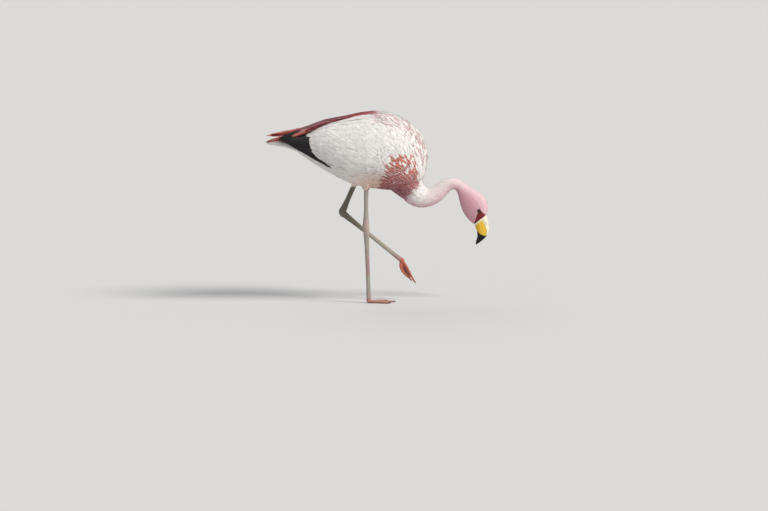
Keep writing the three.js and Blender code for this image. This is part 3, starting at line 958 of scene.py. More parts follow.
class Shader:
    """Short words for building one material out of nodes."""

    def __init__(self, name: str) -> None:
        """Starts a material with only a Principled shader."""
        self.material = bpy.data.materials.new(name)
        self.material.use_nodes = True
        self.tree = self.material.node_tree
        self.tree.nodes.clear()
        self.body = self.node("ShaderNodeBsdfPrincipled")
        self.node("ShaderNodeOutputMaterial", {0: self.body.outputs[0]})

    def fill(self, node: bpy.types.Node, inputs: dict[str | int, object]) -> None:
        """Sets each input of a node, by its name or number, to a value, or links it to a socket."""
        for key, value in inputs.items():
            if isinstance(value, Socket):
                self.tree.links.new(value, node.inputs[key])
            else:
                node.inputs[key].default_value = value

    def node(
        self, kind: str, inputs: dict[str | int, object] | None = None, **settings: object
    ) -> bpy.types.Node:
        """New node.

        Args:
            kind: Type of the node.
            inputs: Value or socket for each input that is not left alone.
            settings: Properties to set on it.

        Returns:
            The node.
        """
        made = self.tree.nodes.new(kind)
        for key, value in settings.items():
            setattr(made, key, value)
        self.fill(made, inputs or {})
        return made

    def maths(self, how: str, *values: Socket | float) -> Socket:
        """Result of a sum on sockets and numbers."""
        return self.node("ShaderNodeMath", dict(enumerate(values)), operation=how).outputs[0]

    def attribute(self, name: str) -> bpy.types.NodeOutputs:
        """Outputs of a node that reads a stored attribute."""
        return self.node("ShaderNodeAttribute", attribute_name=name, attribute_type="GEOMETRY").outputs

    def places(self, scale: Colour = (1.0, 1.0, 1.0)) -> Socket:
        """Object coordinates, stretched by a scale."""
        source = self.node("ShaderNodeTexCoord").outputs["Object"]
        return self.node("ShaderNodeMapping", {"Scale": scale, "Vector": source}).outputs["Vector"]

    def noise(self, vector: Socket, scale: float, detail: float = 4.0) -> Socket:
        """Noise between about 0.3 and 0.7, with so many waves to a metre and so many finer ones."""
        inputs = {"Scale": scale, "Detail": detail, "Roughness": 0.6, "Vector": vector}
        return self.node("ShaderNodeTexNoise", inputs).outputs["Fac"]

    def cells(self, vector: Socket, scale: float) -> Socket:
        """Distance from the edges of cells, as between scales of skin."""
        inputs = {"Scale": scale, "Vector": vector}
        return self.node("ShaderNodeTexVoronoi", inputs, feature="DISTANCE_TO_EDGE").outputs["Distance"]

    def span(self, value: Socket, low: float, high: float, to: Spot = (0.0, 1.0)) -> Socket:
        """Value moved from the range low to high into another one, and kept in it."""
        inputs = {"Value": value, "From Min": low, "From Max": high, "To Min": to[0], "To Max": to[1]}
        return self.node("ShaderNodeMapRange", inputs, interpolation_type="SMOOTHSTEP").outputs["Result"]

    def tinted(self, shade: Socket) -> None:
        """Paints the surface with its stored colour, darkened by a shade."""
        dark = self.node("ShaderNodeCombineColor", dict.fromkeys(range(3), shade)).outputs[0]
        inputs = {0: 1.0, 6: self.attribute(TINT)["Color"], 7: dark}
        how = {"data_type": "RGBA", "blend_type": "MULTIPLY", "clamp_result": True}
        self.fill(self.body, {"Base Color": self.node("ShaderNodeMix", inputs, **how).outputs[2]})

    def bump(self, height: Socket, distance: float) -> None:
        """Lets a height between 0 and 1, which is a distance in metres, tilt the shading."""
        inputs = {"Strength": 1.0, "Distance": distance, "Height": height}
        self.fill(self.body, {"Normal": self.node("ShaderNodeBump", inputs).outputs["Normal"]})

    def gloss(self, roughness: float, specular: float, sheen: float = 0.0, coat: float = 0.0) -> None:
        """Sets how dull the surface is, how strong its reflection, and any dusty sheen or wet coat."""
        look = {"Roughness": roughness, "Specular IOR Level": specular, "Sheen Weight": sheen}
        self.fill(self.body, look | {"Sheen Roughness": 0.6, "Coat Weight": coat, "Coat Roughness": 0.08})


@dataclass(frozen=True)
class FeatherFinish:
    """Finish of feathers: their own stored colour, with fine barbs across each vane."""

    name: str
    roughness: float = 0.8
    sheen: float = 0.08
    barbs: float = 26.0
    relief: float = 0.00010
    mottle: float = 0.06

    def build(self) -> Material:
        """The material."""
        s = Shader(self.name)
        vane = s.node("ShaderNodeUVMap", uv_map=VANE_MAP).outputs["UV"]
        parts = s.node("ShaderNodeSeparateXYZ", {0: vane}).outputs
        slope = s.maths("ABSOLUTE", s.maths("SUBTRACT", parts["X"], 0.5))
        comb = s.maths("MULTIPLY_ADD", slope, -0.55, parts["Y"])
        ridges = s.maths("SINE", s.maths("MULTIPLY", comb, self.barbs * 2 * math.pi))
        mottling = s.noise(s.places(), 260.0, 3.0)
        s.tinted(s.span(mottling, 0.3, 0.7, (1.0 - self.mottle, 1.0)))
        s.bump(s.maths("MULTIPLY_ADD", ridges, 0.25, mottling), self.relief)
        s.gloss(self.roughness, 0.2, self.sheen)
        return s.material


@dataclass(frozen=True)
class SkinFinish:
    """Finish of the skin: the same markings as the coat, with creases where it is bare."""

    name: str = "bird_skin"

    def build(self) -> Material:
        """The material."""
        s = Shader(self.name)
        place = s.places()
        fine = s.noise(place, 900.0)
        s.tinted(s.span(fine, 0.3, 0.7, (0.82, 1.0)))
        pores = s.span(s.cells(place, 560.0), 0.0, 0.25)
        scaled = s.maths("MULTIPLY", pores, s.attribute(SCALES)["Fac"])
        s.bump(s.maths("MULTIPLY_ADD", fine, 0.25, scaled), 0.00018)
        s.gloss(0.55, 0.3, 0.05)
        return s.material


# --- the studio


@dataclass
class Studio:
    """Pale floor, soft lamps and the camera."""

    elevation: float = math.radians(7.0)
    roll: float = math.radians(1.6)
    away: float = 20.0
    metres_per_pixel: float = 0.00275
    frame_width: int = 768
    frame_height: int = 511
    sole_pixel: Spot = (369.0, 303.0)
    sensor: float = 36.0
    floor_half: float = 40.0

    def build(self) -> None:
        """Makes the floor, the light and the camera."""
        bpy.context.scene.view_settings.view_transform = "Standard"
        self._floor()
        self._lamps()
        self._camera()

    def _floor(self) -> None:
        """Large pale floor under the bird."""
        corners = np.array([(-1, -1, 0), (1, -1, 0), (1, 1, 0), (-1, 1, 0)]) * self.floor_half
        floor = add_object("floor", new_mesh("floor", corners, np.arange(4), np.array([4])))
        s = Shader("floor_paint")
        s.fill(s.body, {"Base Color": (0.64, 0.635, 0.62, 1.0)})
        s.gloss(0.85, 0.2)
        floor.data.materials.append(s.material)

    def _lamps(self) -> None:
        """A soft key light from ahead and above on the near side, and pale light all round."""
        world = bpy.data.worlds.new("studio_air")
        bpy.context.scene.world = world
        world.use_nodes = True
        air = world.node_tree.nodes["Background"].inputs
        air[0].default_value, air[1].default_value = (0.80, 0.83, 0.88, 1.0), 0.54
        for name, place, angle, power, colour in (
            ("key", (2.0, -1.55, 2.1), 18.0, 2.75, (1.0, 0.965, 0.91)),
            ("back", (-0.9, 2.0, 2.4), 40.0, 0.5, (1.0, 0.98, 0.95)),
        ):
            light = bpy.data.lights.new(name, "SUN")
            light.angle = math.radians(angle)
            light.energy = power
            light.color = colour
            lamp = bpy.data.objects.new(name, light)
            lamp.location = place
            lamp.rotation_euler = (-Vector(place)).to_track_quat("-Z", "Y").to_euler()
            bpy.context.scene.collection.objects.link(lamp)

    def _camera(self) -> None:
        """Camera far off on the bird's right, a little above it, as through a long lens."""
        look = Vector((0.0, math.cos(self.elevation), -math.sin(self.elevation)))
        right = Vector((1.0, 0.0, 0.0))
        up = right.cross(look)
        turned_right = right * math.cos(self.roll) + up * -math.sin(self.roll)
        turned_up = right * math.sin(self.roll) + up * math.cos(self.roll)
        off_x = self.frame_width / 2 - self.sole_pixel[0]
        off_y = self.sole_pixel[1] - self.frame_height / 2
        centre = (turned_right * off_x + turned_up * off_y) * self.metres_per_pixel
        data = bpy.data.cameras.new("camera")
        data.sensor_width = self.sensor
        data.lens = self.away * self.sensor / (self.frame_width * self.metres_per_pixel)
        data.clip_end = 60.0
        camera = bpy.data.objects.new("camera", data)
        turned = Matrix((turned_right, turned_up, -look)).transposed().to_4x4()
        camera.matrix_world = Matrix.Translation(centre - look * self.away) @ turned
        bpy.context.scene.collection.objects.link(camera)
        bpy.context.scene.camera = camera


# --- skin


def capped(rings: Array, start: Array, end: Array) -> Shape:
    """Closed shape through rings of points, with a point at each end.

    Args:
        rings: Rings that turn right-handed about the way from start to end, one in each row.
        start: Point before the first ring.
        end: Point after the last.

    Returns:
        Vertex places and triangles.
    """
    count, sides = rings.shape[:2]
    verts = np.vstack([rings.reshape(-1, 3), start, end])
    first, last = count * sides, count * sides + 1
    tris = []
    for k in range(sides):
        n = (k + 1) % sides
        for r in range(count - 1):
            a, b = r * sides + k, r * sides + n
            tris += [(a, b, b + sides), (a, b + sides, a + sides)]
        tris += [(first, n, k), (last, (count - 1) * sides + k, (count - 1) * sides + n)]
    return verts, np.array(tris)


def tube(path: Array, deep: Array, wide: Array, sides: int) -> Shape:
    """Closed tube of oval section along a path that lies about upright.

    Args:
        path: Its middle line.
        deep: Half its size fore and aft, at each place.
        wide: Half its size across, at each place.
        sides: Number of faces round it.

    Returns:
        Vertex places and triangles.
    """
    way = unit(np.gradient(path, axis=0))
    fore = unit(np.cross(Y_AXIS, way))
    across = np.cross(way, fore)
    turn = np.arange(sides) * 2 * math.pi / sides
    rings = (
        path[:, None]
        + fore[:, None] * (deep[:, None] * np.cos(turn)[None])[..., None]
        + across[:, None] * (wide[:, None] * np.sin(turn)[None])[..., None]
    )
    return capped(rings, path[0], path[-1])


def ball(centre: Array, radii: Array, turn: Matrix, sides: int = 24) -> Shape:
    """Closed oval ball.

    Args:
        centre: Its middle.
        radii: Its three half sizes.
        turn: How it is turned.
        sides: Faces round it.

    Returns:
        Vertex places and triangles.
    """
    slope = np.linspace(math.pi, 0.0, sides // 2 + 1)[1:-1, None]
    around = np.arange(sides) * 2 * math.pi / sides
    level = (np.sin(slope) * np.cos(around), np.sin(slope) * np.sin(around), np.cos(slope) * np.ones(sides))
    verts, tris = capped(np.stack(level, axis=-1), np.array([0.0, 0.0, -1.0]), np.array([0.0, 0.0, 1.0]))
    return verts * np.asarray(radii) @ np.array(turn.to_3x3()).T + centre, tris


def gathered(shapes: Iterable[Shape]) -> Shape:
    """Several shapes as one list of vertices and one of triangles."""
    verts, tris, start = [], [], 0
    for v, t in shapes:
        verts.append(v)
        tris.append(t + start)
        start += len(v)
    return np.vstack(verts), np.vstack(tris)


def hoop(centre: Array, across: Array, up: Array, size: Array, thick: float) -> Shape:
    """Closed oval ring.

    Args:
        centre: Its middle.
        across: Unit vector along its first half size.
        up: Unit vector along its second half size.
        size: Its two half sizes.
        thick: Radius of its section.

    Returns:
        Vertex places and triangles.
    """
    steps, sides = 48, 10
    turn = np.arange(steps) * 2 * math.pi / steps
    line = centre + across * (size[0] * np.cos(turn))[:, None] + up * (size[1] * np.sin(turn))[:, None]
    out = unit(line - centre)
    axis = np.cross(across, up)
    bend = np.arange(sides) * 2 * math.pi / sides
    verts = (
        line[:, None]
        + out[:, None] * (thick * np.cos(bend))[None, :, None]
        + axis[None, None] * (thick * np.sin(bend))[None, :, None]
    ).reshape(-1, 3)
    tris = []
    for r in range(steps):
        for k in range(sides):
            a, b = r * sides + k, r * sides + (k + 1) % sides
            c, d = (r + 1) % steps * sides + (k + 1) % sides, (r + 1) % steps * sides + k
            tris += [(a, c, b), (a, d, c)]
    return verts, np.array(tris)


@dataclass
class Leg:
    """Bare part of one leg, from inside the body to the joint of the toes."""

    side: str
    tarsus: float = 0.212
    hidden: float = 0.113
    sides: int = 30

    def __post_init__(self) -> None:
        """Finds the ankle, the joint of the toes and the hidden top from the solids."""
        self.ankle = middle(f"ankle_{self.side}")
        self.joint = self.ankle + self._way(f"tarsus_{self.side}") * self.tarsus
        self.top = self.ankle + self._way(f"shank_{self.side}") * self.hidden
        self.bisector = unit(unit(self.top - self.ankle) - unit(self.joint - self.ankle))

    def _way(self, node: str) -> Array:
        """Direction from the ankle to the far end of a node."""
        verts, _ = node_arrays(node)
        away = apart(verts, self.ankle)
        return unit(verts[away > away.max() - 3 * MM].mean(axis=0) - self.ankle)

    def tarsus_line(self) -> tuple[Array, Array, Array]:
        """Middle line of the tarsus, with half its size fore and aft and half its size across."""
        t = np.linspace(0.0, 1.0, 120)
        line = self.ankle + (self.joint - self.ankle) * t[:, None]
        knots = [0, 0.05, 0.1, 0.17, 0.28, 0.5, 0.8, 0.93, 1.0]
        deep = np.interp(t, knots, [9.2, 9.0, 8.2, 7.0, 6.1, 5.5, 5.6, 6.2, 6.7]) * MM
        return line, deep, deep * (0.86 + 0.1 * np.cos(t * math.pi * 2) ** 2)

    def shank_line(self) -> tuple[Array, Array, Array]:
        """Middle line of the shank, with both half sizes, as for the tarsus."""
        t = np.linspace(0.0, 1.0, 60)
        line = self.top + (self.ankle - self.top) * t[:, None]
        deep = np.interp(t, [0, 0.4, 0.62, 0.76, 0.88, 1.0], [6.6, 6.0, 6.0, 6.8, 8.2, 9.2]) * MM
        if self.side == "left":
            deep = np.minimum(deep * 1.14, 9.2 * MM)
        return line, deep, deep * 0.94

    def shapes(self) -> list[Shape]:
        """Shank, ankle with its heel, and tarsus, as closed shapes that overlap."""
        turn = Vector(self.bisector).to_track_quat("Z", "Y").to_matrix()
        back = unit(np.array([-1.0, 0.0, -0.25]))
        heel = self.ankle + back * (2.6 if self.side == "right" else 1.2) * MM
        return [
            tube(*self.shank_line(), self.sides),
            tube(*self.tarsus_line(), self.sides),
            ball(self.ankle, np.array([9.3, 8.6, 13.0]) * MM, turn),
            ball(heel, np.array([7.6, 7.0, 10.0]) * MM, turn),
            node_arrays(f"foot_{self.side}"),
            ball(self.joint, np.array([6.7, 6.7, 6.9]) * MM, turn),
        ]


@dataclass
class Skin:
    """The one skin of the bird, inside the solids by the depth of its coat, with its bare legs."""

    axis: Axis
    marks: Markings
    form: Surface
    leg_voxel: float = 0.8 * MM
    covered_ratio: float = 0.32
    covered_neck: float = 0.2
    covered_height: float = 0.335
    depths: Colour = (1.2 * MM, 2.2 * MM, 3.8 * MM)

    def depth(self, points: Array) -> Array:
        """Depth of the coat at each place."""
        along, share = self.axis.along_neck(points), self.axis.body_share(points)
        head, neck, body = self.depths
        depth = head + (neck - head) * smooth(along, 0.28, 0.5) + (body - neck) * share
        thigh = smooth(points[:, 2], 0.318, 0.305) * share
        depth = depth * (1.0 - thigh) + 2.0 * MM * thigh
        return depth * (1.0 - 0.85 * self.marks.in_face(points))

    def build(self) -> Thing:
        """The skin as one object, with its colours."""
        body = self._body()
        self._add_legs(body)
        self._add_lids(body)
        verts, _ = mesh_arrays(body.data)
        normals = mesh_normals(body.data)
        colour = self.marks.skin(verts, normals)
        # Painted shade: the thin webs between the toes are darkened, most on the raised foot.
        for side in SIDES:
            web_shade = self._blurred(body.data, self._webs(side, verts, normals), 4)
            colour = mix(colour, self.marks.tones.web_shade, (0.9 if side == "left" else 0.5) * web_shade)
        set_colours(body.data, TINT, colour)
        set_share(body.data, SCALES, 0.15 + 0.85 * self.marks.leg_share(verts))
        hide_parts("trunk", "head", "neck_lower", "neck_middle", "neck_upper")
        for side in SIDES:
            for part in ("thigh", "shank", "ankle", "tarsus", "foot"):
                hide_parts(f"{part}_{side}")
        return finish_piece(body, SkinFinish().build())

    def _webs(self, side: str, verts: Array, normals: Array) -> Array:
        """1 on the thin webs between the toes of one foot, 0 elsewhere."""
        foot = Surface.of_nodes(f"foot_{side}")
        low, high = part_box(f"foot_{side}")
        near = np.all((verts > np.array(low) - 2 * MM) & (verts < np.array(high) + 2 * MM), axis=1)
        share = np.zeros(len(verts))
        for index in np.flatnonzero(near):
            inward = Vector(-normals[index])
            first = foot.tree.ray_cast(Vector(verts[index]) - inward * 1.5 * MM, inward, 4 * MM)[0]
            if first is not None:
                second = foot.tree.ray_cast(first + inward * 0.05 * MM, inward, 12 * MM)[0]
                deep = (second - first).length if second is not None else 12 * MM
                share[index] = smooth(deep, 3.2 * MM, 2.0 * MM)
        return share

    def _blurred(self, mesh: Mesh, values: Array, rounds: int) -> Array:
        """Values at the vertices, each averaged with its neighbours some times over."""
        edges = np.empty(len(mesh.edges) * 2, dtype=np.int32)
        mesh.edges.foreach_get("vertices", edges)
        edges = edges.reshape(-1, 2)
        count = np.bincount(edges.ravel(), minlength=len(values))
        for _ in range(rounds):
            total = np.bincount(edges[:, 0], values[edges[:, 1]], len(values))
            total += np.bincount(edges[:, 1], values[edges[:, 0]], len(values))
            values = 0.4 * values + 0.6 * total / np.maximum(count, 1)
        return values

    def _body(self) -> Thing:
        """Trunk, neck and head, moved in by the depth of the coat, and coarser well under it."""
        verts = self.form.verts - self.form.normals * self.depth(self.form.verts)[:, None]
        body = add_shape("skin", verts, self.form.tris)
        soften = body.modifiers.new("soften", "SMOOTH")
        soften.iterations = 2
        covered = body.vertex_groups.new(name="covered")
        deep = (self.axis.along_neck(verts) > self.covered_neck) & (verts[:, 2] > self.covered_height)
        covered.add(np.flatnonzero(deep).tolist(), 1.0, "REPLACE")
        coarser = body.modifiers.new("coarser", "DECIMATE")
        coarser.vertex_group = covered.name
        coarser.ratio = self.covered_ratio
        return applied(body)

    def _add_lids(self, body: Thing) -> None:
        """Lays two folds of lid round each eyeball, in the same object as the skin."""
        folds = []
        for side, sign in SIDES.items():
            low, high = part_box(f"eye_{side}")
            radius = (high[2] - low[2]) / 2.0
            out = unit(np.array([0.12, sign, 0.05]))
            across = unit(np.cross(out, np.array([0.35, 0.0, 1.0]))) * sign
            up = np.cross(out, across)
            for angle, thick, squint in ((0.90, 0.50 * MM, 0.80), (1.18, 0.75 * MM, 0.88)):
                centre = middle(f"eye_{side}") + out * radius * math.cos(angle) * 1.06
                size = np.array([1.06, squint]) * radius * math.sin(angle)
                folds.append(hoop(centre, across, up, size, thick))
        lids = add_shape("lids", *gathered(folds))
        with bpy.context.temp_override(active_object=body, selected_editable_objects=[body, lids]):
            bpy.ops.object.join()

    def _add_legs(self, body: Thing) -> None:
        """Joins the bare legs to the body in one closed surface."""
        shapes = gathered(shape for side in SIDES for shape in Leg(side).shapes())
        legs = remeshed("legs", *shapes, self.leg_voxel, 9)
        join = body.modifiers.new("join", "BOOLEAN")
        join.operation = "UNION"
        join.solver = "MANIFOLD"
        join.object = legs
        applied(body)
        bpy.data.objects.remove(legs)


# --- plumage


@dataclass(frozen=True)
class Tract:
    """One kind of feather over one part of the bird.

    Lengths are in metres. grows gives 1 where the feathers grow and 0 elsewhere.
    """

    name: str
    grows: Field
    spacing: float
    length: float
    half: float
    kind: Vane
    lift: float
    depth_share: float
    sway: float = 0.10
    vary: float = 0.12
    stretch: float = 2.2
    streak_width: float = 0.6
    power: float = 2.4


@dataclass
class Plumage:
    """The feathers of the body, wings, neck and head."""

    axis: Axis
    marks: Markings
    form: Surface
    skin_depth: Field
    finish: FeatherFinish
    seed: int = 7

    def __post_init__(self) -> None:
        """Keeps the solids that tell the tracts apart."""
        self.rng = np.random.default_rng(self.seed)
        self.wings = Surface.of_nodes("wing_right", "wing_left")
        self.eyes = [middle(f"eye_{side}") for side in SIDES]

    def on_wing(self, points: Array) -> Array:
        """True on the folded wings."""
        return self.wings.distance(points) < 1.6 * MM

    def bare(self, points: Array) -> Array:
        """True on the face and round the eyes, where nothing grows."""
        near_eye = np.min([apart(points, eye) for eye in self.eyes], axis=0) < 6.6 * MM
        return near_eye | (self.marks.in_face(points) > 0.5)

    def head(self, points: Array) -> Array:
        """1 on the head and the top of the neck."""
        return ((self.axis.along_neck(points) < 0.36) & ~self.bare(points)).astype(float)

    def on_neck(self, points: Array, top: float, bottom: float) -> Array:
        """1 between two shares of the way down the neck."""
        along = self.axis.along_neck(points)
        return ((along >= top) & (along < bottom)).astype(float)

    def streaked(self, points: Array) -> Array:
        """True on the breast and the mantle, where the streaked feathers grow."""
        x, _, z = points.T
        high = (x > 0.075) | (z > 0.470)
        return (smooth(x, 0.018, 0.024) > 0.5) & ((self.marks.breast_share(points) > 0.0) | high)

    def high(self, points: Array) -> Array:
        """True on the mantle and the shoulders, above the breast."""
        return (points[:, 2] > 0.452) | ((self.marks.breast_share(points) <= 0.0) & (points[:, 2] > 0.385))

    def front(self, points: Array, high: bool) -> Array:
        """1 on the breast, or else on the mantle, the shoulders and the front of the wings."""
        body = (self.axis.body_share(points) > 0.35) & self.streaked(points)
        return (body & (self.high(points) == high)).astype(float)

    def trunk(self, points: Array) -> Array:
        """1 on the rest of the body outside the wings."""
        body = (self.axis.body_share(points) > 0.35) & ~self.streaked(points)
        body[body] = ~self.on_wing(points[body])
        return body.astype(float)

    def wing_between(self, points: Array, rear: float, front: float) -> Array:
        """1 on the wings between two places along the bird."""
        x = points[:, 0]
        inside = (x > rear) & (x < front) & (self.axis.body_share(points) > 0.5)
        inside &= ~self.streaked(points)
        inside[inside] = self.on_wing(points[inside])
        return inside.astype(float)

    def grow(self, tract: Tract) -> Thing:
        """Makes the feathers of one tract.

        Args:
            tract: What grows, and where.

        Returns:
            The piece.
        """
        roots = self.form.scatter(
            lambda p: tract.grows(p) * tract.spacing, tract.spacing, self.rng, self.axis.lie, tract.stretch
        )
        count = len(roots)
        length = tract.length * (1.0 + tract.vary * self.rng.standard_normal(count).clip(-2, 2))
        half = tract.half * (1.0 + 0.5 * tract.vary * self.rng.standard_normal(count).clip(-2, 2))
        sway = tract.sway * self.rng.standard_normal(count)
        path, normal = laid(self.form, self.axis.lie, roots, length, tract.kind.value.stations, sway)
        free = ~np.any([self.marks.dark(path[:, k]) for k in (-3, -2, -1)], axis=0)
        path, normal, half = path[free], normal[free], half[free]
        depth = self.skin_depth(path[:, 0]) * tract.depth_share
        lift = tract.lift * (0.8 + 0.4 * self.rng.random(len(path)))
        root, tip = path[:, 0], path[:, -1]
        shade = 1.0 + 0.05 * self.rng.standard_normal((len(path), 1)).clip(-2, 2)
        red, share = self.marks.red(tip, normal[:, -1], self.rng)
        batch = Batch(
            kind=tract.kind,
            path=sunk(path, normal, tract.kind.value.stations, depth, lift, tract.power),
            normal=normal,
            half=half,
            base=self.marks.plumage(root, normal[:, 0]) * shade * 0.96,
            tip=self.marks.plumage(tip, normal[:, -1]) * shade,
            streak=red,
            streak_share=share,
            streak_width=tract.streak_width * (0.5 + 0.5 * self.marks.breast_share(tip)),
        )
        mesh = batch.mesh(tract.name, self.axis.unwrap(root))
        return finish_piece(add_object(tract.name, mesh), self.finish.build())

    def edge_coverts(self, count: int = 24, length: float = 0.040) -> Thing:
        """Rows of white coverts that end along the front of the black flight feathers.

        Args:
            count: How many there are on each side.
            length: Length of each.

        Returns:
            The piece.
        """
        line = self.marks.wedge_front(np.linspace(0.0, 0.97, count))
        tips = []
        for sign in SIDES.values():
            for x, z in line:
                tips.append(self.form.seen(x + 0.001 * self.rng.standard_normal(), z, sign))
        kind = Vane.BLADE
        back = 1.0 - np.array(kind.value.stations)[::-1]
        sway = 0.04 * self.rng.standard_normal(len(tips))
        sizes = length * self.rng.uniform(0.9, 1.1, len(tips))
        path, normal = laid(self.form, lambda p: -self.axis.lie(p), np.array(tips), sizes, back, sway)
        path, normal = path[:, ::-1], normal[:, ::-1]
        ones = np.ones(len(path))
        white = np.outer(ones, self.marks.tones.white) * self.rng.uniform(0.96, 1.0, (len(path), 1))
        batch = Batch(
            kind=kind,
            path=sunk(path, normal, kind.value.stations, ones * 2.5 * MM, ones * 1.2 * MM),
            normal=normal,
            half=ones * 6.0 * MM,
            base=white * 0.94,
            tip=white,
            streak=np.outer(ones, self.marks.tones.crimson),
            streak_share=0.95 * (np.abs(path[:, -1, 2] - 0.4555) < 0.0016),
            streak_width=0.3,
        )
        mesh = batch.mesh("edge_coverts", self.axis.unwrap(path[:, 0]))
        return finish_piece(add_object("edge_coverts", mesh), self.finish.build())

    def tracts(self) -> list[Tract]:
        """The tracts, from the bill backwards."""
        neck, base = (partial(self.on_neck, top=a, bottom=b) for a, b in ((0.33, 0.70), (0.66, 0.97)))
        parts = ((0.0, 0.095), (-0.40, 0.012))
        wing_fore, wing_rear = (partial(self.wing_between, rear=a, front=b) for a, b in parts)
        breast, mantle = (partial(self.front, high=high) for high in (False, True))
        small, blade, rounded = Vane.SMALL, Vane.BLADE, Vane.ROUND
        fine = {"stretch": 2.0, "power": 3.4}
        streaks = {"sway": 0.06, "stretch": 3.0, "streak_width": 0.8, "power": 1.6}
        long_streaks = {"sway": 0.05, "stretch": 4.2, "streak_width": 0.9, "power": 1.8}
        plain = {"sway": 0.06, "stretch": 2.4, "power": 2.1}
        wide = {"sway": 0.06, "stretch": 2.6}
        table = (
            ("head_feathers", self.head, 0.82, 4.4, 0.98, small, 0.00004, 0.5, fine),
            ("neck_feathers", neck, 1.25, 9.0, 1.8, small, 0.0001, 0.6, {"power": 3.0}),
            ("neck_base_feathers", base, 1.8, 14.0, 2.4, blade, 0.0002, 0.8, {}),
            ("breast_feathers", breast, 3.1, 24.0, 4.2, blade, 0.0004, 0.8, streaks),
            ("mantle_feathers", mantle, 3.2, 33.0, 4.0, blade, 0.0003, 0.8, long_streaks),
            ("body_feathers", self.trunk, 3.1, 25.0, 4.6, blade, 0.00015, 0.8, plain),
            ("middle_coverts", wing_fore, 3.5, 34.0, 5.8, rounded, 0.00015, 0.8, {"sway": 0.06}),
            ("great_coverts", wing_rear, 4.2, 46.0, 7.0, rounded, 0.0002, 0.8, wide),
        )
        return [
            Tract(name, grows, gap * MM, length * MM, half * MM, *rest, **more)
            for name, grows, gap, length, half, *rest, more in table
        ]

    def build(self) -> list[Thing]:
        """All the tracts, one piece each."""
        return [self.grow(tract) for tract in self.tracts()] + [self.edge_coverts()]


# --- long feathers


def eased(path: Array, rounds: int = 2) -> Array:
    """Path with its small steps smoothed out."""
    smoothed = path.copy()
    for _ in range(rounds):
        smoothed[1:-1] = (smoothed[:-2] + 2.0 * smoothed[1:-1] + smoothed[2:]) / 4.0
    return smoothed


def along_line(corners: Sequence[Spot], share: Array) -> Array:
    """Places at shares of the way along a broken line, from its corners."""
    line = np.array(corners)
    reach = measured(line)
    return np.column_stack([np.interp(share * reach[-1], reach, line[:, k]) for k in range(2)])


